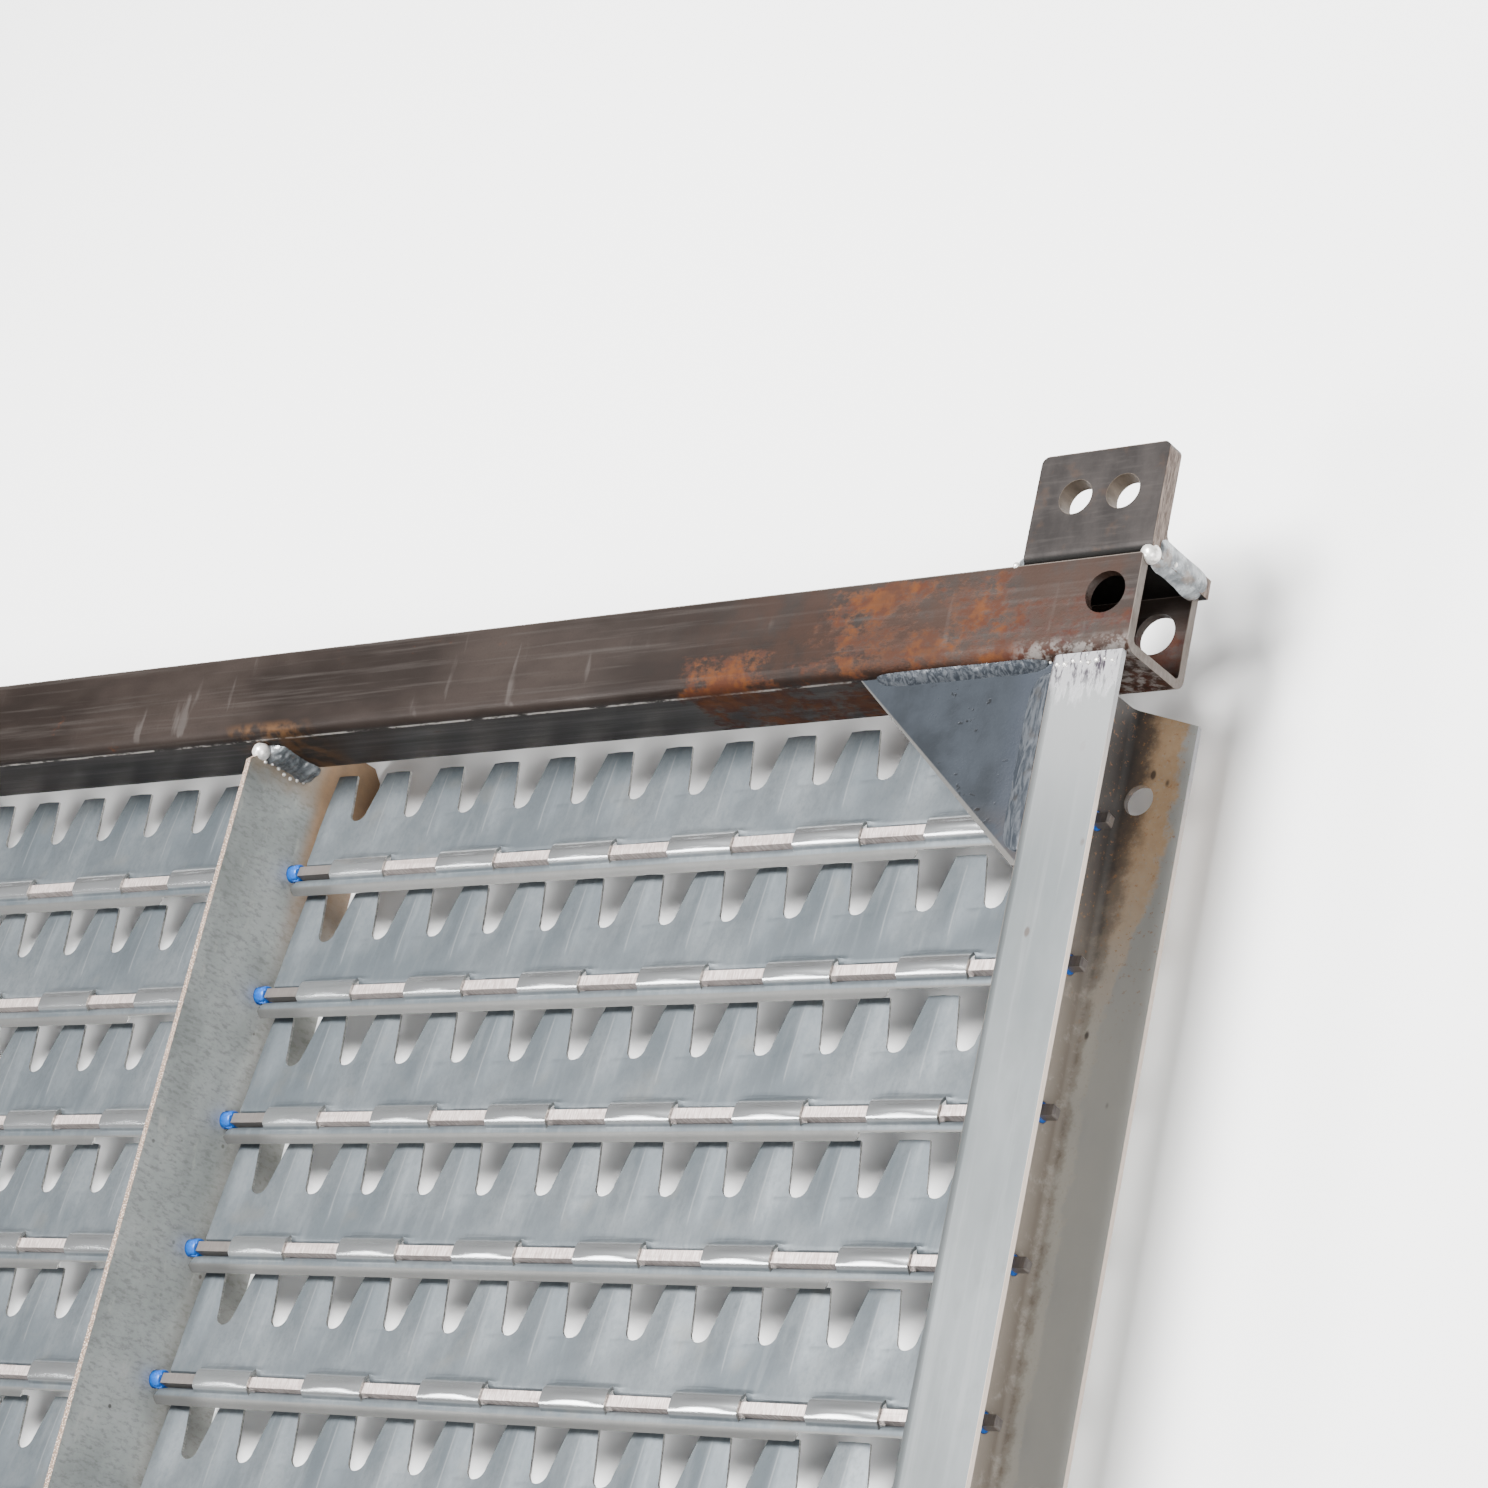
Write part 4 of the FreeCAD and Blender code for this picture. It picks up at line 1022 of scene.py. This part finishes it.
def build_guides():
    """Bolts, spacers, washers and nuts that the adjusting bar slides on."""
    z = centre_yz("guide_washers")[1]
    bolt_low, bolt_high = limits("guide_bolts")
    spacer_low, spacer_high = limits("guide_spacers")
    washer_low, washer_high = limits("guide_washers")
    corner = 7.51
    head = [(-WEB_IN, 6.3), (-WEB_IN + 0.3, corner), (bolt_high.x - 0.8, corner), (bolt_high.x - 0.05, 6.2),
            (bolt_high.x, 6.0)]
    bolts, spacers, washers, nuts = [], [], [], []
    for y in GUIDES_Y:
        bolts.append(shank(y, z, bolt_low.x, -WEB_IN, M8_R, M8_PITCH, -WEB_OUT - 1))
        bolts.append(turned(head, hexagon(M8_ACROSS), y, z))
        spacers.append(washer(y, z, spacer_low.x, spacer_high.x, 6.0, M8_R + 0.2))
        washers.append(washer(y, z, washer_low.x, washer_high.x, 8.0, M8_R + 0.2))
        nuts.append(nut(y, z, "guide_nuts", M8_ACROSS, M8_R + 0.05))
    add_fasteners("frame", {"guide_bolts": bolts, "guide_spacers": spacers, "guide_washers": washers,
                            "guide_nuts": nuts})


def build_lever_parts():
    """The lever's stud, pins, clamp and ribbed grip."""
    pivot_y, pivot_z = (value / MM for value in JOINTS["lever_swing"]["pos_m"][1:])
    lever_low, lever_high = limits("adjusting_lever")
    stud_low, stud_high = limits("lever_pivot_stud")
    stud = [shank(pivot_y, pivot_z, stud_low.x, stud_high.x, M8_R, M8_PITCH, lever_low.x - 0.5),
            washer(pivot_y, pivot_z, lever_high.x + 0.2, stud_high.x, 5.0)]
    pivot_nut = [nut(pivot_y, pivot_z, "lever_pivot_nut", M8_ACROSS, M8_R + 0.05)]
    pin_low, pin_high = limits("lever_drive_pin")
    pin_profile = [(pin_low.x, 2.4), (pin_low.x + 0.15, 2.8), (pin_low.x + 0.5, 3.0), (pin_high.x - 0.6, 3.0),
                   (pin_high.x, 2.4)]
    pin_y, pin_z = centre_yz("lever_drive_pin")
    clamp_low, clamp_high = limits("clamp_bolt")
    clamp_y, clamp_z = centre_yz("clamp_bolt")
    head = lever_high.x
    head_profile = [(head, 6.0), (head + 0.6, 6.0), (head + 1.7, 5.1), (head + 2.5, 3.2), (clamp_high.x, 1.2)]
    clamp = [shank(clamp_y, clamp_z, clamp_low.x, head, M6_R, M6_PITCH, head - 4),
             turned(head_profile, None, clamp_y, clamp_z)]
    add_fasteners("frame", {"lever_pivot_stud": stud, "lever_pivot_nut": pivot_nut})
    add_fasteners("lever", {"lever_drive_pin": [turned(pin_profile, None, pin_y, pin_z)], "clamp_bolt": clamp,
                            "clamp_nut": [nut(clamp_y, clamp_z, "clamp_nut", M6_ACROSS, M6_R + 0.05)]})
    build_grip(Vector((pivot_y, pivot_z)), Vector((clamp_y, clamp_z)))


def build_grip(pivot, clamp):
    """The sleeve on the handle: rounded, ribbed across, a little waisted."""
    along = (clamp - pivot).normalized()
    side = Vector((-along.y, along.x))
    low, high = limits("lever_grip")
    middle_x, half_x = (low.x + high.x) / 2, (high.x - low.x) / 2
    start, end, half_z, corner = 73.0, 107.0, 10.5, 2.4
    rib_pitch, rib_depth, waist, end_round = 3.5, 0.9, 0.9, 1.8
    plain = 3                     # length without ribs at each end
    steps = 136
    sections = []
    for i in range(steps + 1):
        reach = lerp(start, end, i / steps)
        rib = 0.5 - 0.5 * math.cos(2 * math.pi * (reach - start - plain) / rib_pitch)
        ribbed = smooth(start + plain, start + plain + 2, reach) * smooth(end - plain, end - plain - 2, reach)
        shrink = rib_depth * rib * ribbed
        shrink += end_round * (1 - math.sqrt(smooth(start - 0.5, start + 1.6, reach)))
        shrink += end_round * (1 - math.sqrt(smooth(end + 0.5, end - 1.6, reach)))
        wide = half_x - shrink * 0.8
        tall = half_z - shrink - waist * ribbed * math.sin(math.pi * i / steps)
        loop = []
        for quarter, (sx, sz) in enumerate(((1, 1), (-1, 1), (-1, -1), (1, -1))):
            for k in range(7):
                angle = math.radians(90 * quarter + 15 * k)
                x = sx * (wide - corner) + corner * math.cos(angle)
                z = sz * (tall - corner) + corner * math.sin(angle)
                at = pivot + along * reach + side * z
                loop.append((middle_x + x, at.x, at.y))
        sections.append(loop)
    add_piece("lever_grip_ribbed", [rings(sections)], "grip", "lever", "grip", "lever_grip", 50)


# ---- scene ---------------------------------------------------------
def floor_material():
    g = Graph("studio_floor")
    g.colour = g.mix(g.noise(160, 2, 0.4), (0.93, 0.925, 0.915), (0.96, 0.96, 0.955))
    return g.finish(0.7, 0.0)


def build_stage():
    """A plain pale floor that reaches past the camera's view."""
    half = 30000
    corners = [(-half, -half, 0), (half, -half, 0), (half, half, 0), (-half, half, 0)]
    floor = make_object("studio_floor", corners, [[0, 1, 2, 3]], closed=False)
    floor.data.materials.append(floor_material())


def area_light(name, at, target, size, power):
    """A rectangular light, placed in metres and aimed at the target."""
    light = bpy.data.lights.new(name, "AREA")
    light.shape = "RECTANGLE"
    light.size, light.size_y = size
    light.energy = power
    obj = add_object(name, light)
    obj.location = at
    direction = Vector(target) - Vector(at)
    obj.rotation_euler = direction.to_track_quat("-Z", "Y").to_euler()


def build_lights():
    """A key from behind, a strip for glints on the crimps, a wide fill, and a pale sky."""
    seen_corner = (0.4, 0.1, 0.03)
    for name, at, size, watts in (("key_softbox", (0.2, 0.43, 1.64), (0.7, 0.7), 125),
                                  ("glint_strip", (-0.65, -0.48, 1.22), (0.5, 0.3), 20),
                                  ("fill_softbox", (1.9, -0.9, 1.25), (1.4, 1.2), 46)):
        area_light(name, at, seen_corner, size, watts)
    world = bpy.data.worlds.new("studio")
    bpy.context.scene.world = world
    world.use_nodes = True
    nodes, links = world.node_tree.nodes, world.node_tree.links
    background = nodes["Background"]
    coordinates = nodes.new("ShaderNodeTexCoord")
    split = nodes.new("ShaderNodeSeparateXYZ")
    ramp = nodes.new("ShaderNodeValToRGB")
    links.new(coordinates.outputs["Generated"], split.inputs[0])
    links.new(split.outputs["Z"], ramp.inputs[0])
    links.new(ramp.outputs[0], background.inputs["Color"])
    low_sky, high_sky = ramp.color_ramp.elements
    low_sky.position, low_sky.color = 0.0, (0.42, 0.415, 0.41, 1)
    high_sky.position, high_sky.color = 1.0, (0.9, 0.9, 0.9, 1)
    background.inputs["Strength"].default_value = 0.38


def build_camera():
    """The camera as solved from the photo, placed from the frame's front right corner."""
    right = Vector((0.78535, 0.20548, -0.58396))
    up = Vector((0.06899, 0.90838, 0.41242))
    back = Vector((0.61520, -0.36418, 0.69921))
    camera = bpy.data.cameras.new("camera")
    camera.sensor_width = 36
    camera.lens = 90.24
    camera.clip_start, camera.clip_end = 0.05, 30
    obj = add_object("camera", camera)
    turn = Matrix((right, up, back)).transposed().to_4x4()
    from_corner = Vector((548.1, -420.2, 769.6))
    corner = Vector((FRAME_HALF, FRONT_WEB_Y, TOP))
    obj.matrix_world = Matrix.Translation((corner + from_corner) * MM) @ turn
    bpy.context.scene.camera = obj


build_camera()
build_stage()
build_lights()
dress_cad_nodes()
build_slats()
build_bushes()
build_divider_welds()
build_bracket_welds()
build_gusset_welds()
build_member_welds()
build_guides()
build_lever_parts()

bpy.context.view_layer.update()
